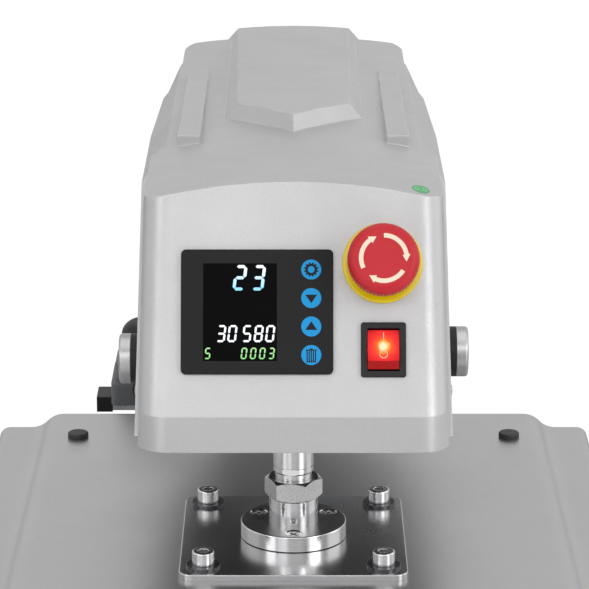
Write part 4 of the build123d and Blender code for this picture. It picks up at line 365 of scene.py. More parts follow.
for ring in range(len(pad_levels) + len(top_scales) - 1):
    for step in range(ring_size):
        here = ring * ring_size + step
        beside = ring * ring_size + (step + 1) % ring_size
        pad_faces.append((here, beside, beside + ring_size, here + ring_size))
pad_faces.append(reversed(range(ring_size)))
pad_faces.append(range(len(pad_vertices) - ring_size, len(pad_vertices)))
pad = piece("pressing_pad", pad_vertices, pad_faces, "base", pored_sponge(), smooth=True)
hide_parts("silicone_pad")

# Column and guide rod: steel tube and bar, ground and hard-chromed, with faint rings from the wheel.
# The stop pin of the swing is made of the same bar.
ground_chrome = surface(
    "ground_chrome", colours=[(0.66, 0.66, 0.67), (0.6, 0.6, 0.61)], gloss=(0.1, 0.2),
    grain=30, depth=0.004 * mm, stretch=(1, 1, 60), metal=1.0, edge_colour_worn_and_highlit=(0.75, 0.75, 0.76),
)
dress(ground_chrome, "column", "guide_rod", "stop_pin")

# Support collar and cap of the column: turned steel, blackened, bright where the edges are rubbed.
# The sheet that closes the head from below has the same black, as painted shade for the unlit underside of
# the head.
black_oxide_and_shade = surface(
    "black_oxide_and_shade", colours=[(0.03, 0.03, 0.033), (0.05, 0.05, 0.054)], gloss=(0.3, 0.45),
    grain=900, depth=0.02 * mm, metal=0.6, speck=0.3, edge_colour_worn_and_highlit=(0.16, 0.16, 0.165),
)
dress(black_oxide_and_shade, "support_collar", "retaining_cap", "head_bottom_plate")

# Thrust washer and bushes: turned bronze that runs dry against the chrome.
turned_bronze = surface(
    "turned_bronze", colours=[(0.62, 0.38, 0.16), (0.5, 0.29, 0.11)], gloss=(0.25, 0.4),
    grain=40, depth=0.01 * mm, stretch=(1, 1, 60), metal=1.0,
)
dress(turned_bronze, "thrust_washer", "sleeve_bushes", "guide_bush")

# Pressure regulator behind the head: a die cast body, painted dark grey, on its bracket.
# Its knob and the case of the gauge are black mouldings.
die_cast = surface(
    "die_cast", colours=[(0.12, 0.125, 0.13), (0.1, 0.105, 0.11)], gloss=(0.4, 0.55),
    grain=1200, depth=0.05 * mm, speck=0.4, edge_colour_worn_and_highlit=(0.2, 0.205, 0.21),
)
dress(die_cast, "regulator_body")
dress(moulded_black, "regulator_knob", "pressure_gauge")

# Dial of the gauge: a white printed disc with ten divisions and plain numbers, under a domed window.
# The red pointer sits on an arbor in the middle and sweeps three quarters of a turn.
gauge_low, gauge_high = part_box("pressure_gauge")
dial_x = (gauge_low.x + gauge_high.x) / 2
dial_z = (gauge_low.z + gauge_high.z) / 2
dial_radius = 11.2 * mm
dial_depth = 4.0 * mm
dial_start = math.radians(225)
dial_sweep = math.radians(270)
dial_divisions = 10
dial_circle = 10.0 * mm
long_tick = 1.9 * mm
short_tick = 1.0 * mm
long_tick_half = 0.16 * mm
short_tick_half = 0.07 * mm
figure_circle = 6.6 * mm
figure_pitch = 0.95 * mm
figure_width = 0.75 * mm
figure_height = 1.5 * mm
figure_stroke = 0.18 * mm


def on_dial(across, rise, out):
    """A point of the gauge's dial, out towards the window."""
    return Vector((dial_x + across, gauge_low.y + dial_depth - out, dial_z + rise))


def flat_print(name, outlines, spot, out, finish, body):
    """Flat printed shapes at one height over a face; spot gives a point of that face."""
    vertices = []
    faces = []
    for outline in outlines:
        faces.append(range(len(vertices), len(vertices) + len(outline)))
        vertices += [spot(across, rise, out) for across, rise in outline]
    return piece(name, vertices, faces, body, finish)


def circle_points(across, rise, radius, count):
    """Points round a circle on a face."""
    angles = [math.tau * step / count for step in range(count)]
    return [(across + radius * math.cos(angle), rise + radius * math.sin(angle)) for angle in angles]


def ring_outlines(across, rise, inner, outer, count):
    """A flat ring as four-sided pieces."""
    first = circle_points(across, rise, inner, count)
    second = circle_points(across, rise, outer, count)
    nexts = [(step + 1) % count for step in range(count)]
    return [[first[step], second[step], second[beside], first[beside]] for step, beside in enumerate(nexts)]


bars = {
    "0": "abcdef", "1": "bc", "2": "abged", "3": "abgcd", "4": "fgbc",
    "5": "afgcd", "6": "afgcde", "7": "abc", "8": "abcdefg", "9": "abcfgd",
}
bar_ends = {
    "a": ((0, 2), (1, 2)), "b": ((1, 1), (1, 2)), "c": ((1, 0), (1, 1)), "d": ((0, 0), (1, 0)),
    "e": ((0, 0), (0, 1)), "f": ((0, 1), (0, 2)), "g": ((0, 1), (1, 1)),
}


def digit_bars(figure, left_edge, foot, width, height, stroke, lean=0.12):
    """Outlines of one seven-bar digit, leaning to the right."""
    outlines = []
    half = stroke / 2
    for bar in bars[figure]:
        ends = []
        for x, y in bar_ends[bar]:
            across = left_edge + half + x * (width - stroke)
            rise = foot + half + y * (height - stroke) / 2
            ends.append(Vector((across + (rise - foot) * lean, rise)))
        along = (ends[1] - ends[0]).normalized()
        side = Vector((-along.y, along.x)) * half
        gap = along * stroke * 0.12
        start = ends[0] + gap
        stop = ends[1] - gap
        outlines.append([
            start, start + along * half - side, stop - along * half - side,
            stop, stop - along * half + side, start + along * half + side,
        ])
    return outlines


dial_white = surface(
    "dial_white", colours=[(0.82, 0.82, 0.8), (0.76, 0.76, 0.74)], gloss=(0.45, 0.6),
    grain=2000, depth=0.005 * mm, edge=0,
)
dial_ink = surface(
    "dial_ink", colours=[(0.02, 0.02, 0.02), (0.035, 0.035, 0.035)], gloss=(0.5, 0.6),
    grain=2000, depth=0.005 * mm, edge=0,
)
dial_sides = 64
dial_disc = [circle_points(0, 0, dial_radius, dial_sides)]
flat_print("gauge_dial", dial_disc, on_dial, 0.1 * mm, dial_white, "base")
dial_line = 0.1 * mm
dial_marks = ring_outlines(0, 0, dial_circle - dial_line, dial_circle + dial_line, dial_sides)
for mark in range(5 * dial_divisions + 1):
    angle = dial_start - dial_sweep * mark / (5 * dial_divisions)
    whole = mark % 5 == 0
    tick_length = long_tick if whole else short_tick
    half = long_tick_half if whole else short_tick_half
    outward = Vector((math.cos(angle), math.sin(angle)))
    aside = Vector((-outward.y, outward.x)) * half
    inner = outward * (dial_circle - tick_length)
    outer = outward * dial_circle
    dial_marks.append([inner - aside, outer - aside, outer + aside, inner + aside])
    if mark % 10 == 0:
        figures = str(mark // 5)
        width = figure_pitch * len(figures)
        spot = outward * figure_circle
        for place, figure in enumerate(figures):
            dial_marks += digit_bars(
                figure, spot.x - width / 2 + place * figure_pitch, spot.y - figure_height / 2,
                figure_width, figure_height, figure_stroke, lean=0.0,
            )
flat_print("gauge_marks", dial_marks, on_dial, 0.15 * mm, dial_ink, "base")
pointer_red = surface(
    "pointer_red", colours=[(0.6, 0.03, 0.02), (0.52, 0.025, 0.018)], gloss=(0.3, 0.4),
    grain=1500, depth=0.005 * mm, edge=0,
)
dress(pointer_red, "gauge_needle")


def clear_window(name, tint, roughness):
    """Clear moulding with faint wipe marks in its gloss."""
    made = bpy.data.materials.new(name)
    made.use_nodes = True
    tree = made.node_tree
    shader = tree.nodes["Principled BSDF"]
    shader.inputs["Base Color"].default_value = (*tint, 1)
    shader.inputs["Transmission Weight"].default_value = 1.0
    shader.inputs["IOR"].default_value = 1.49
    wiped = between(tree, noise(tree, 120), 0.5 * roughness, 1.5 * roughness)
    tree.links.new(wiped, shader.inputs["Roughness"])
    return made


window_rings = 6
window_sides = 48
window_dome = 0.5 * mm
window_wall = 0.35 * mm
window_edge_out = dial_depth - 0.9 * mm
window_vertices = []
window_faces = []
for skin, lift in ((0, -window_wall), (1, 0)):
    for ring in range(1, window_rings + 1):
        share = ring / window_rings
        for across, rise in circle_points(0, 0, dial_radius * share, window_sides):
            dome = window_dome * (1 - share**2)
            window_vertices.append(on_dial(across, rise, window_edge_out + lift + dome))
skin_size = window_rings * window_sides
for skin in (0, 1):
    for ring in range(window_rings - 1):
        for step in range(window_sides):
            here = skin * skin_size + ring * window_sides + step
            beside = skin * skin_size + ring * window_sides + (step + 1) % window_sides
            quad = (here, beside, beside + window_sides, here + window_sides)
            window_faces.append(quad if skin else tuple(reversed(quad)))
    cap = range(skin * skin_size, skin * skin_size + window_sides)
    window_faces.append(cap if skin else reversed(cap))
rim = skin_size - window_sides
for step in range(window_sides):
    here = rim + step
    beside = rim + (step + 1) % window_sides
    window_faces.append((here, beside, beside + skin_size, here + skin_size))
gauge_glass = clear_window("gauge_glass", (0.97, 0.98, 0.98), 0.03)
piece("gauge_window", window_vertices, window_faces, "base", gauge_glass, smooth=True)

# Cylinder in the head: drawn barrel between two caps, with a piston on the rod.
# The electrics beside it are a cream relay, a black valve and a green circuit board.
cream_moulding = surface(
    "cream_moulding", colours=[(0.68, 0.64, 0.52), (0.62, 0.58, 0.46)], gloss=(0.38, 0.5),
    grain=1800, depth=0.03 * mm,
)
dress(cream_moulding, "solid_state_relay")
dress(moulded_black, "solenoid_valve")
board_lacquer = surface(
    "board_lacquer", colours=[(0.01, 0.12, 0.04), (0.02, 0.16, 0.05)], gloss=(0.25, 0.4),
    grain=900, depth=0.02 * mm,
)
dress(board_lacquer, "controller_board")

# Head cover: pressed sheet with rounded edges, sprayed in a satin silver-grey of very fine grain.
# The coat is painted lighter along the edges of the panel, the hood and the strakes, a painted highlight on
# their rounded edges.
silver_coat = surface(
    "silver_coat", colours=[(0.50, 0.50, 0.505), (0.43, 0.43, 0.435)], gloss=(0.34, 0.48),
    grain=1500, depth=0.025 * mm, metal=0.35, edge=1.2 * mm, mottle=14, speck=0.55,
    edge_colour_worn_and_highlit=(0.72, 0.72, 0.72), edge_span_worn_and_highlit=(0.995, 0.9),
)
dress(silver_coat, "head_cover")

# Small oval sticker on the roof, green with two paler rings and no writing.
# It is pressed onto the crowned sheet, so each of its points lies on the roof.
sticker_across = 72 * mm
sticker_along = -108 * mm
sticker_half_width = 5.1 * mm
sticker_half_length = 8.5 * mm
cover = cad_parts["head_cover"]
bpy.context.view_layer.update()


def on_roof(across, along, out):
    """A point of the roof beside the sticker's middle, found by dropping a plumb line on the cover."""
    above = Vector((sticker_across + across, sticker_along + along, cad_high.z))
    _, spot, normal, _ = cover.ray_cast(above, Vector((0, 0, -1)))
    return spot + normal * out


sticker_green = surface(
    "sticker_green", colours=[(0.02, 0.36, 0.10), (0.015, 0.31, 0.085)], gloss=(0.3, 0.42),
    grain=2500, depth=0.004 * mm, edge=0,
)
sticker_pale = surface(
    "sticker_pale", colours=[(0.25, 0.62, 0.33), (0.2, 0.56, 0.28)], gloss=(0.3, 0.42),
    grain=2500, depth=0.004 * mm, edge=0,
)
sticker_rings = 5
sticker_sides = 32
sticker_outlines = []
for ring in range(sticker_rings):
    inner = circle_points(0, 0, max(ring / sticker_rings, 0.02), sticker_sides)
    outer = circle_points(0, 0, (ring + 1) / sticker_rings, sticker_sides)
    for step in range(sticker_sides):
        beside = (step + 1) % sticker_sides
        sticker_outlines.append([
            (x * sticker_half_width, y * sticker_half_length)
            for x, y in (inner[step], outer[step], outer[beside], inner[beside])
        ])
flat_print("inspection_sticker", sticker_outlines, on_roof, 0.08 * mm, sticker_green, "head")
sticker_marks = []
mark_across = 2.2 * mm
mark_half_width = 1.4 * mm
mark_half_length = 3.4 * mm
mark_bore = 0.62
for side in (-1, 1):
    for quad in ring_outlines(0, 0, mark_bore, 1.0, 20):
        middle = side * mark_across
        sticker_marks.append([(middle + mark_half_width * x, mark_half_length * y) for x, y in quad])
flat_print("sticker_rings", sticker_marks, on_roof, 0.12 * mm, sticker_pale, "head")


# Controller: a charcoal moulding clipped into the panel, with a black glossy window over the display.
# The panel leans back, and all the marks on it are placed across and up from its lower edge.
panel_tilt = math.radians(22)
strip_height = 21 * mm
cover_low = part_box("head_cover")[0]
panel_foot = Vector((0, cover_low.y, cover_low.z + strip_height))
panel_up = Vector((0, math.sin(panel_tilt), math.cos(panel_tilt)))
panel_out = Vector((0, -math.cos(panel_tilt), math.sin(panel_tilt)))


def on_panel(across, rise, out):
    """A point of the tilted control panel: across from the middle, up from its foot, out of its face."""
    return panel_foot + Vector((across, 0, 0)) + panel_up * rise + panel_out * out


charcoal_moulding = surface(
    "charcoal_moulding", colours=[(0.013, 0.013, 0.014), (0.017, 0.017, 0.018)], gloss=(0.5, 0.62),
    grain=3000, depth=0.02 * mm, speck=0.5,
)
charcoal_moulding.node_tree.nodes["Principled BSDF"].inputs["Specular IOR Level"].default_value = 0.12
dress(charcoal_moulding, "controller_case")
display_glass = surface(
    "display_glass", colours=[(0.0015, 0.0015, 0.0015), (0.0022, 0.0022, 0.0022)], gloss=(0.16, 0.24),
    grain=300, depth=0.001 * mm,
)
display_glass.node_tree.nodes["Principled BSDF"].inputs["Specular IOR Level"].default_value = 0.02
dress(display_glass, "controller_screen")


# Digits of the display: lit bars behind the window, in light blue, white and green.
# Only plain numbers are shown, and each colour fades a little from the top of a digit to its foot.
def lit(name, low_colour, high_colour, strength, low, high):
    """Light of the display's digits; its colour goes from the lower to the upper end of a digit."""
    made = bpy.data.materials.new(name)
    made.use_nodes = True
    tree = made.node_tree
    shader = tree.nodes["Principled BSDF"]
    shader.inputs["Base Color"].default_value = (0.02, 0.02, 0.02, 1)
    shader.inputs["Emission Strength"].default_value = strength
    place = tree.nodes.new("ShaderNodeTexCoord")
    split = tree.nodes.new("ShaderNodeSeparateXYZ")
    tree.links.new(place.outputs["Object"], split.inputs["Vector"])
    rise = between(tree, split.outputs["Z"], 0, 1, low, high)
    tree.links.new(blend_colours(tree, rise, low_colour, high_colour), shader.inputs["Emission Color"])
    tree.links.new(between(tree, noise(tree, 4000), 0.3, 0.5), shader.inputs["Roughness"])
    return made


display_face = 3.0 * mm
# A light is the colours of a digit's foot and top, and its brightness.
light_blue = ((0.12, 0.55, 1.0), (0.85, 0.97, 1.0), 1.3)
white = ((0.9, 0.95, 1.0), (0.95, 0.98, 1.0), 1.2)
green = ((0.25, 0.8, 0.2), (0.45, 0.95, 0.35), 0.95)
# Name, figures, right edge, foot, width, pitch, height and stroke (all mm), and light.
display_numbers = [
    ("display_temperature", "23", -16.9, 70.7, 6.9, 10.4, 14.3, 1.7, light_blue),
    ("display_time", "580", -11.1, 41.8, 4.9, 6.45, 9.5, 1.1, white),
    ("display_set", "30", -32.2, 41.8, 4.9, 6.2, 9.5, 1.1, white),
    ("display_count", "0003", -11.0, 32.3, 3.3, 5.1, 6.4, 0.75, green),
    ("display_program", "5", -46.6, 32.3, 3.2, 5.0, 6.4, 0.75, green),
]
for name, figures, right_edge, foot, width, pitch, height, stroke, light_look in display_numbers:
    low_colour, high_colour, strength = light_look
    light = lit(
        name + "_light", low_colour, high_colour, strength,
        on_panel(0, foot * mm, 0).z, on_panel(0, (foot + height) * mm, 0).z,
    )
    outlines = []
    for place, figure in enumerate(reversed(figures)):
        outlines += digit_bars(
            figure, (right_edge - width - place * pitch) * mm, foot * mm, width * mm, height * mm, stroke * mm
        )
    flat_print(name, outlines, on_panel, display_face + 0.08 * mm, light, "head")

# Touch keys: four blue discs printed on the controller's face, each with a charcoal sign.
# The signs are a gear, a triangle down, a triangle up and a bin.
key_across = 9.9 * mm
key_rises = [82.5 * mm, 66.5 * mm, 50.55 * mm, 34.6 * mm]
key_radius = 5.6 * mm
key_blue = surface(
    "key_blue", colours=[(0.006, 0.26, 0.60), (0.009, 0.30, 0.65)], gloss=(0.45, 0.55),
    grain=3000, depth=0.01 * mm, edge=0,
)
key_blue.node_tree.nodes["Principled BSDF"].inputs["Specular IOR Level"].default_value = 0.25
flat_print(
    "touch_keys", [circle_points(key_across, rise, key_radius, 48) for rise in key_rises],
    on_panel, display_face + 0.05 * mm, key_blue, "head",
)
gear_teeth = 12
gear_tip = 4.1 * mm
gear_root = 3.2 * mm
gear_rim = []
for step in range(4 * gear_teeth):
    reach = gear_tip if step % 4 in (1, 2) else gear_root
    angle = math.tau * (step + 0.5) / (4 * gear_teeth)
    gear_rim.append((key_across + reach * math.cos(angle), key_rises[0] + reach * math.sin(angle)))
triangle_reach = 3.3 * mm
triangle_foot = 1.9 * mm
triangle_tip = 2.9 * mm
key_signs = [gear_rim]
for rise, tip in ((key_rises[1], -1), (key_rises[2], 1)):
    key_signs.append([
        (key_across - triangle_reach, rise - tip * triangle_foot),
        (key_across + triangle_reach, rise - tip * triangle_foot),
        (key_across, rise + tip * triangle_tip),
    ])


def upright_bar(left_edge, foot, width, height):
    """A rectangle by its lower left corner."""
    right_edge = left_edge + width
    return [(left_edge, foot), (right_edge, foot), (right_edge, foot + height), (left_edge, foot + height)]


bin_foot = key_rises[3] - 3.6 * mm
bin_half_width = 2.6 * mm
bin_height = 6.1 * mm
slat_width = 0.6 * mm
slat_pitch = 1.16 * mm
lid_half_width = 3.0 * mm
lid_height = 0.55 * mm
handle_half_width = 0.9 * mm
handle_height = 0.5 * mm
for slat in range(5):
    slat_left = key_across - bin_half_width + slat * slat_pitch
    key_signs.append(upright_bar(slat_left, bin_foot, slat_width, bin_height))
for half_width, foot, height in (
    (bin_half_width, bin_foot - 0.5 * mm, slat_width),
    (lid_half_width, bin_foot + bin_height, lid_height),
    (handle_half_width, bin_foot + bin_height + slat_width, handle_height),
):
    key_signs.append(upright_bar(key_across - half_width, foot, 2 * half_width, height))
sign_out = display_face + 0.1 * mm
flat_print("key_signs", key_signs, on_panel, sign_out, charcoal_moulding, "head")
gear_hub_radius = 1.9 * mm
flat_print(
    "gear_hub", [circle_points(key_across, key_rises[0], gear_hub_radius, 32)], on_panel,
    display_face + 0.15 * mm, key_blue, "head",
)

# Stop button: a red mushroom with a serrated rim over a glossy yellow disc.
# Three cream arrows printed on its crown show the way to turn it free.
red_moulding = surface(
    "red_moulding", colours=[(0.54, 0.016, 0.026), (0.46, 0.012, 0.021)], gloss=(0.34, 0.46),
    grain=1500, depth=0.02 * mm, edge_colour_worn_and_highlit=(0.62, 0.04, 0.05),
)
red_moulding.node_tree.nodes["Principled BSDF"].inputs["Specular IOR Level"].default_value = 0.3
dress(red_moulding, "stop_mushroom")
yellow_moulding = surface(
    "yellow_moulding", colours=[(0.80, 0.60, 0.0), (0.72, 0.53, 0.0)], gloss=(0.12, 0.22),
    grain=1200, depth=0.01 * mm, edge_colour_worn_and_highlit=(0.95, 0.85, 0.3),
)
dress(yellow_moulding, "stop_disc")
dress(moulded_black, "stop_switch_body", "stop_spindle")
cream_print = surface(
    "cream_print", colours=[(0.85, 0.72, 0.56), (0.8, 0.66, 0.5)], gloss=(0.4, 0.5),
    grain=2500, depth=0.01 * mm, edge=0,
)
stop_across = 49.8 * mm
stop_rise = 86.2 * mm
mushroom_top = 28 * mm
arrow_radius = 12.6 * mm
arrow_stroke = 2.5 * mm
arrow_head = 4.0 * mm
arrow_barb = 1.0 * mm
arrow_spans = [(90, 9), (-33, -112), (206, 127)]
arrow_steps = 14


def round_stop(radius, angle):
    """A point round the middle of the mushroom, as across and up on the panel."""
    return (stop_across + radius * math.cos(angle), stop_rise + radius * math.sin(angle))


arrows = []
for start, stop in arrow_spans:
    angles = [math.radians(start + (stop - start) * step / arrow_steps) for step in range(arrow_steps + 1)]
    outer = arrow_radius + arrow_stroke / 2
    inner = arrow_radius - arrow_stroke / 2
    for first, second in zip(angles, angles[1:]):
        corners = ((inner, first), (outer, first), (outer, second), (inner, second))
        arrows.append([round_stop(*corner) for corner in corners])
    arrows.append([
        round_stop(inner - arrow_barb, angles[-1]), round_stop(outer + arrow_barb, angles[-1]),
        round_stop(arrow_radius, angles[-1] - arrow_head / arrow_radius),
    ])
arrow_out = mushroom_top + 0.1 * mm
flat_print("stop_arrows", arrows, on_panel, arrow_out, cream_print, "stop_mushroom")

# Rocker switch: a black frame snapped into the panel, with a red key lit from inside.
# The stroke and the ring moulded into the key mark its two ends.
dress(moulded_black, "rocker_housing")
rocker_across = 50.2 * mm
rocker_rise = 37.7 * mm
glow_rise = rocker_rise + 1.7 * mm
facet_top_rise = 10.9 * mm
facet_foot_rise = -6.1 * mm
facet_top_out = 1.2 * mm
facet_foot_out = 4.6 * mm
facet_edge = 0.5 * mm


def lit_red():
    """Red translucent moulding with a lamp behind it: hot in the middle, deep red at the edges, and painted
    shade on the lower facet.
    """
    made = bpy.data.materials.new("lit_red")
    made.use_nodes = True
    tree = made.node_tree
    shader = tree.nodes["Principled BSDF"]
    shader.inputs["Base Color"].default_value = (0.2, 0.003, 0.003, 1)
    shader.inputs["Emission Strength"].default_value = 1.0
    shader.inputs["Specular IOR Level"].default_value = 0.2
    tree.links.new(between(tree, noise(tree, 1800), 0.18, 0.3), shader.inputs["Roughness"])
    place = tree.nodes.new("ShaderNodeTexCoord")
    distance = tree.nodes.new("ShaderNodeVectorMath")
    distance.operation = "DISTANCE"
    distance.inputs[1].default_value = on_panel(rocker_across, glow_rise, 3 * mm)
    tree.links.new(place.outputs["Object"], distance.inputs[0])
    height = tree.nodes.new("ShaderNodeSeparateXYZ")
    tree.links.new(place.outputs["Object"], height.inputs["Vector"])
    # The lower facet is painted darker, a painted shade.
    fold = on_panel(0, rocker_rise + facet_foot_rise - facet_edge, facet_foot_out).z
    lower_facet_shade = between(tree, height.outputs["Z"], 0.55, 0, fold - 0.4 * mm, fold + 0.2 * mm)
    uneven = sum_of(tree, between(tree, noise(tree, 260, detail=3.0), -0.05, 0.05), lower_facet_shade)
    reach = sum_of(tree, between(tree, distance.outputs["Value"], 0, 1, 0, 14 * mm), uneven)
    ramp = tree.nodes.new("ShaderNodeValToRGB")
    ramp.color_ramp.elements[0].position = 0.13
    ramp.color_ramp.elements[0].color = (1.0, 0.9, 0.55, 1)
    ramp.color_ramp.elements[1].position = 0.95
    ramp.color_ramp.elements[1].color = (0.2, 0.001, 0.002, 1)
    for position, colour in (
        (0.2, (1.0, 0.5, 0.08, 1)), (0.3, (1.0, 0.12, 0.02, 1)), (0.5, (0.8, 0.03, 0.025, 1)),
        (0.75, (0.6, 0.006, 0.01, 1)),
    ):
        step = ramp.color_ramp.elements.new(position)
        step.color = colour
    tree.links.new(reach, ramp.inputs["Fac"])
    tree.links.new(ramp.outputs["Color"], shader.inputs["Emission Color"])
    return made


dress(lit_red(), "rocker_key")


def on_rocker(across, rise, out):
    """A point of the long upper facet of the rocker's key, about its middle."""
    share = (facet_top_rise - rise) / (facet_top_rise - facet_foot_rise)
    level = facet_top_out + share * (facet_foot_out - facet_top_out)
    return on_panel(rocker_across + across, rocker_rise + rise, level + out)


rocker_print = lit("rocker_print_light", (1.0, 0.42, 0.2), (1.0, 0.62, 0.5), 0.9, 0.0, 1.0)
ring_rise = -2.7 * mm
ring_bore = 1.9 * mm
ring_radius = 2.4 * mm
stroke_foot = 5.6 * mm
stroke_width = 0.5 * mm
stroke_height = 4.0 * mm
rocker_marks = ring_outlines(0, ring_rise, ring_bore, ring_radius, 28)
rocker_marks.append(upright_bar(-stroke_width / 2, stroke_foot, stroke_width, stroke_height))
flat_print("rocker_marks", rocker_marks, on_rocker, 0.06 * mm, rocker_print, "rocker_key")

# Start buttons on both sides of the head: a black collar, a turned bezel and a black plunger in it.
# Under the right one shows the domed head of a cover screw, zinc plated and polished by the driver.
dress(moulded_black, "start_button_bodies", "left_start_plunger", "right_start_plunger")
satin_bezel = surface(
    "satin_bezel", colours=[(0.44, 0.44, 0.445), (0.38, 0.38, 0.385)], gloss=(0.3, 0.42),
    grain=60, depth=0.01 * mm, stretch=(60, 1, 1), metal=1.0, edge=0.6 * mm,
)
dress(satin_bezel, "start_button_bezels")
domed_zinc = surface(
    "domed_zinc", colours=[(0.42, 0.42, 0.43), (0.34, 0.34, 0.35)], gloss=(0.2, 0.3),
    grain=900, depth=0.01 * mm, metal=1.0, edge=0.3 * mm, mottle=200, edge_colour_worn_and_highlit=(0.6, 0.6, 0.6),
)
dress(domed_zinc, "cover_screws")

# Rod and hub: turned and polished steel with fine rings round their axis.
# The lock nut and the standoffs are duller, as they come from the plating bath.
turned_steel = surface(
    "turned_steel", colours=[(0.62, 0.62, 0.625), (0.55, 0.55, 0.555)], gloss=(0.1, 0.2),
    grain=60, depth=0.004 * mm, stretch=(1, 1, 60), metal=1.0, edge=0.25 * mm,
)
dress(turned_steel, "piston_rod")


def faced_steel_with_painted_shade():
    """Turned steel whose faces turned up are rougher and painted darker as painted shade, with a painted
    contact shadow where the flange meets its plate.
    """
    made = turned_steel.copy()
    made.name = "faced_steel_with_painted_shade"
    tree = made.node_tree
    shader = tree.nodes["Principled BSDF"]
    facing = tree.nodes.new("ShaderNodeNewGeometry")
    split = tree.nodes.new("ShaderNodeSeparateXYZ")
    tree.links.new(facing.outputs["Normal"], split.inputs["Vector"])
    # Faces turned up are painted darker, a painted shade.
    upward = between(tree, split.outputs["Z"], 0, 1, 0.7, 0.95)
    bright = shader.inputs["Base Color"].links[0].from_socket
    shaded_top = blend_colours(tree, upward, bright, (0.32, 0.32, 0.325))
    place = tree.nodes.new("ShaderNodeTexCoord")
    level = tree.nodes.new("ShaderNodeSeparateXYZ")
    tree.links.new(place.outputs["Object"], level.inputs["Vector"])
    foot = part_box("hub_flange")[0].z
    shadow_line_width = 0.35 * mm
    shadow_line_fade = 0.25 * mm
    # Painted contact shadow: a dark band at the foot of the flange.
    line = between(tree, level.outputs["Z"], 1, 0, foot + shadow_line_width, foot + shadow_line_width + shadow_line_fade)
    tree.links.new(blend_colours(tree, line, shaded_top, (0.02, 0.02, 0.02)), shader.inputs["Base Color"])
    polished = shader.inputs["Roughness"].links[0].from_socket
    dull = between(tree, split.outputs["Z"], 0, 0.18, 0.7, 0.95)
    tree.links.new(sum_of(tree, polished, dull), shader.inputs["Roughness"])
    return made


dress(faced_steel_with_painted_shade(), "hub_flange")
satin_steel = surface(
    "satin_steel", colours=[(0.52, 0.515, 0.51), (0.48, 0.475, 0.47)], gloss=(0.22, 0.3),
    grain=500, depth=0.002 * mm, metal=1.0, edge=0.4 * mm, mottle=80, edge_colour_worn_and_highlit=(0.8, 0.8, 0.8),
)
dress(satin_steel, "rod_nut", "standoffs")

# Mounting plate: cold rolled steel plate, ground on its face, with a bright broken edge.
# Its cap screws and those of the hub are plated, and the washers under them are near black.
ground_plate = surface(
    "ground_plate", colours=[(0.46, 0.46, 0.465), (0.44, 0.44, 0.445)], gloss=(0.2, 0.26),
    grain=1800, depth=0.002 * mm, metal=1.0, edge=0.5 * mm, mottle=5, speck=0.6, edge_colour_worn_and_highlit=(0.8, 0.8, 0.8),
    edge_span_worn_and_highlit=(0.99, 0.85),
)
dress(ground_plate, "mounting_plate")
screw_steel = surface(
    "screw_steel", colours=[(0.66, 0.66, 0.665), (0.56, 0.56, 0.57)], gloss=(0.16, 0.28),
    grain=900, depth=0.01 * mm, metal=1.0, edge=0.9 * mm, mottle=200, edge_colour_worn_and_highlit=(0.85, 0.85, 0.85),
)
dress(screw_steel, "plate_screws", "hub_screws")
dark_washer = surface(
    "dark_washer", colours=[(0.10, 0.10, 0.105), (0.07, 0.07, 0.075)], gloss=(0.22, 0.34),
    grain=700, depth=0.01 * mm, metal=1.0, edge=0.3 * mm, mottle=150, edge_colour_worn_and_highlit=(0.6, 0.6, 0.6),
)
dress(dark_washer, "plate_washers")

# Cover of the heat platen: stainless sheet with a fine brushed grain, folded down at the sides.
# Black plugs close the holes over the platen's fixings.
brushed_stainless = surface(
    "brushed_stainless", colours=[(0.46, 0.46, 0.465), (0.44, 0.44, 0.445)], gloss=(0.32, 0.38),
    grain=2200, depth=0.004 * mm, stretch=(1, 0.04, 1), metal=1.0, edge=0.8 * mm, mottle=5, speck=0.6,
)
dress(brushed_stainless, "platen_cover")
dress(black_rubber, "cover_plugs")

# Under the cover: a board of pressed ceramic fibre and the tubular heater bedded in the platen.
# The heater's sheath is stained by heat.
fibre_board = surface(
    "fibre_board", colours=[(0.72, 0.69, 0.6), (0.62, 0.58, 0.48)], gloss=(0.85, 0.98),
    grain=600, depth=0.3 * mm,
)
dress(fibre_board, "insulation_board")
heater_sheath = surface(
    "heater_sheath", colours=[(0.1, 0.09, 0.085), (0.17, 0.14, 0.12)], gloss=(0.35, 0.5),
    grain=500, depth=0.02 * mm, metal=0.9,
)
dress(heater_sheath, "heating_element")


# Heat platen: cast aluminium, machined, with a grey-black non-stick coat on its working face.
# The coat ends where the face turns up into the bare sides.
def coated_platen():
    """Machined aluminium whose lowest skin carries the non-stick coat."""
    made = surface(
        "coated_platen", colours=[(0.68, 0.68, 0.69), (0.6, 0.6, 0.61)], gloss=(0.28, 0.42),
        grain=60, depth=0.02 * mm, stretch=(1, 1, 40), metal=1.0, edge_colour_worn_and_highlit=(0.8, 0.8, 0.8),
    )
    tree = made.node_tree
    shader = tree.nodes["Principled BSDF"]
    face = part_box("heat_platen")[0].z
    place = tree.nodes.new("ShaderNodeTexCoord")
    split = tree.nodes.new("ShaderNodeSeparateXYZ")
    tree.links.new(place.outputs["Object"], split.inputs["Vector"])
    skin_low = face + 0.6 * mm
    skin_high = face + 0.8 * mm
    coat = between(tree, split.outputs["Z"], 1, 0, skin_low, skin_high)
    bare = shader.inputs["Base Color"].links[0].from_socket
    coating = blend_colours(tree, noise(tree, 40, detail=4.0), (0.035, 0.033, 0.032), (0.05, 0.047, 0.045))
    tree.links.new(blend_colours(tree, coat, bare, coating), shader.inputs["Base Color"])
    tree.links.new(between(tree, split.outputs["Z"], 0, 1, skin_low, skin_high), shader.inputs["Metallic"])
    return made


dress(coated_platen(), "heat_platen")

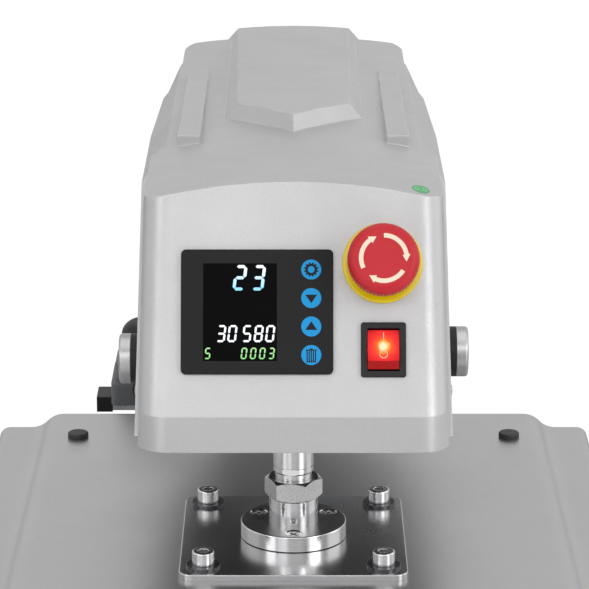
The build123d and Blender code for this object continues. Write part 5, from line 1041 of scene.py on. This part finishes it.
# Studio: a pale floor that glows away from the press and keeps its shadow near it, plain soft light,
# and the camera of the photograph.
floor_half = 9.0
floor_mesh = bpy.data.meshes.new("floor")
floor_corners = ((-1, -1), (1, -1), (1, 1), (-1, 1))
floor_mesh.from_pydata([(x * floor_half, y * floor_half, 0) for x, y in floor_corners], [], [(0, 1, 2, 3)])
floor = bpy.data.objects.new("floor", floor_mesh)
bpy.context.scene.collection.objects.link(floor)
floor_paint = bpy.data.materials.new("floor_paint")
floor_paint.use_nodes = True
floor_tree = floor_paint.node_tree
floor_shader = floor_tree.nodes["Principled BSDF"]
floor_shader.inputs["Base Color"].default_value = (0.86, 0.86, 0.86, 1)
floor_shader.inputs["Roughness"].default_value = 0.9
glow_strength = 1.07
floor_glow = floor_tree.nodes.new("ShaderNodeEmission")
floor_glow.inputs["Strength"].default_value = glow_strength
floor_path = floor_tree.nodes.new("ShaderNodeLightPath")
floor_mix = floor_tree.nodes.new("ShaderNodeMixShader")
floor_place = floor_tree.nodes.new("ShaderNodeTexCoord")
floor_distance = floor_tree.nodes.new("ShaderNodeVectorMath")
floor_distance.operation = "LENGTH"
floor_tree.links.new(floor_place.outputs["Object"], floor_distance.inputs[0])
glow_near = 0.5
glow_far = 0.96
shadow_reach = 0.35
glow_reach = 1.0
glow_share = between(
    floor_tree, floor_distance.outputs["Value"], glow_near, glow_far, shadow_reach, glow_reach
)
floor_share = sum_of(floor_tree, floor_path.outputs["Is Camera Ray"], glow_share, "MULTIPLY")
floor_tree.links.new(floor_share, floor_mix.inputs["Fac"])
floor_tree.links.new(floor_shader.outputs["BSDF"], floor_mix.inputs[1])
floor_tree.links.new(floor_glow.outputs["Emission"], floor_mix.inputs[2])
floor_tree.links.new(floor_mix.outputs["Shader"], floor_tree.nodes["Material Output"].inputs["Surface"])
floor_mesh.materials.append(floor_paint)

world = bpy.data.worlds.new("studio")
bpy.context.scene.world = world
world.use_nodes = True
world_tree = world.node_tree
world_path = world_tree.nodes.new("ShaderNodeLightPath")
mirrored = sum_of(
    world_tree, world_path.outputs["Is Glossy Ray"], world_path.outputs["Is Transmission Ray"], "MAXIMUM"
)
world_level = 0.236
glossy_level = 0.83
background = world_tree.nodes["Background"]
background.inputs["Color"].default_value = (1, 1, 1, 1)
seen_level = between(world_tree, world_path.outputs["Is Camera Ray"], world_level, 1.0, 0, 1)
mirrored_level = between(world_tree, mirrored, 0, glossy_level - world_level, 0, 1)
world_tree.links.new(sum_of(world_tree, seen_level, mirrored_level), background.inputs["Strength"])


def softbox(name, turn, reach, height, aim_height, width, tall, power):
    """A soft light, turned about the rod's axis from the front and aimed at a height on that axis."""
    lamp = bpy.data.lights.new(name, "AREA")
    lamp.shape = "RECTANGLE"
    lamp.size = width
    lamp.size_y = tall
    lamp.energy = power
    made = bpy.data.objects.new(name, lamp)
    angle = math.radians(turn)
    made.location = (reach * math.sin(angle), rod_y - reach * math.cos(angle), height)
    aim = Vector((0, rod_y, aim_height)) - made.location
    made.rotation_euler = aim.to_track_quat("-Z", "Y").to_euler()
    bpy.context.scene.collection.objects.link(made)


# Name, turn in degrees, reach, height, aimed height, width, height of the box (all m) and power in watts.
softboxes = [
    ("left_strip", -24, 0.95, 0.42, 0.42, 0.34, 0.84, 1.3),
    ("right_strip", 42, 0.95, 0.42, 0.42, 0.34, 0.84, 1.6),
    ("left_side", -100, 1.6, 0.9, 0.4, 1.2, 1.2, 1.6),
    ("right_side", 100, 1.6, 0.9, 0.4, 1.2, 1.2, 5.4),
    ("front_box", 0, 3.0, 2.4, 0.4, 2.4, 1.2, 20.0),
    ("left_front", -50, 2.5, 1.6, 0.4, 1.0, 1.0, 11.5),
    ("right_front", 50, 2.5, 1.6, 0.4, 1.0, 1.0, 16.0),
    ("overhead_box", 180, 0.05, 2.6, 0.4, 3.0, 2.6, 24.0),
]
for name, turn, reach, height, aim_height, width, tall, power in softboxes:
    softbox(name, turn, reach, height, aim_height, width, tall, power)

camera_data = bpy.data.cameras.new("camera")
camera_data.sensor_width = 36
photo_width = 589
focal_pixels = 3000
camera_data.lens = camera_data.sensor_width * focal_pixels / photo_width
camera_data.shift_x = 1 / photo_width
camera_data.clip_end = 60
camera = bpy.data.objects.new("camera", camera_data)
camera_distance = 1.753
camera_height = 0.9155
camera_pitch = math.radians(16.3)
camera.location = (0, -camera_distance, camera_height)
camera.rotation_euler = (math.pi / 2 - camera_pitch, 0, 0)
bpy.context.scene.collection.objects.link(camera)
bpy.context.scene.camera = camera
bpy.context.scene.view_settings.view_transform = "Standard"
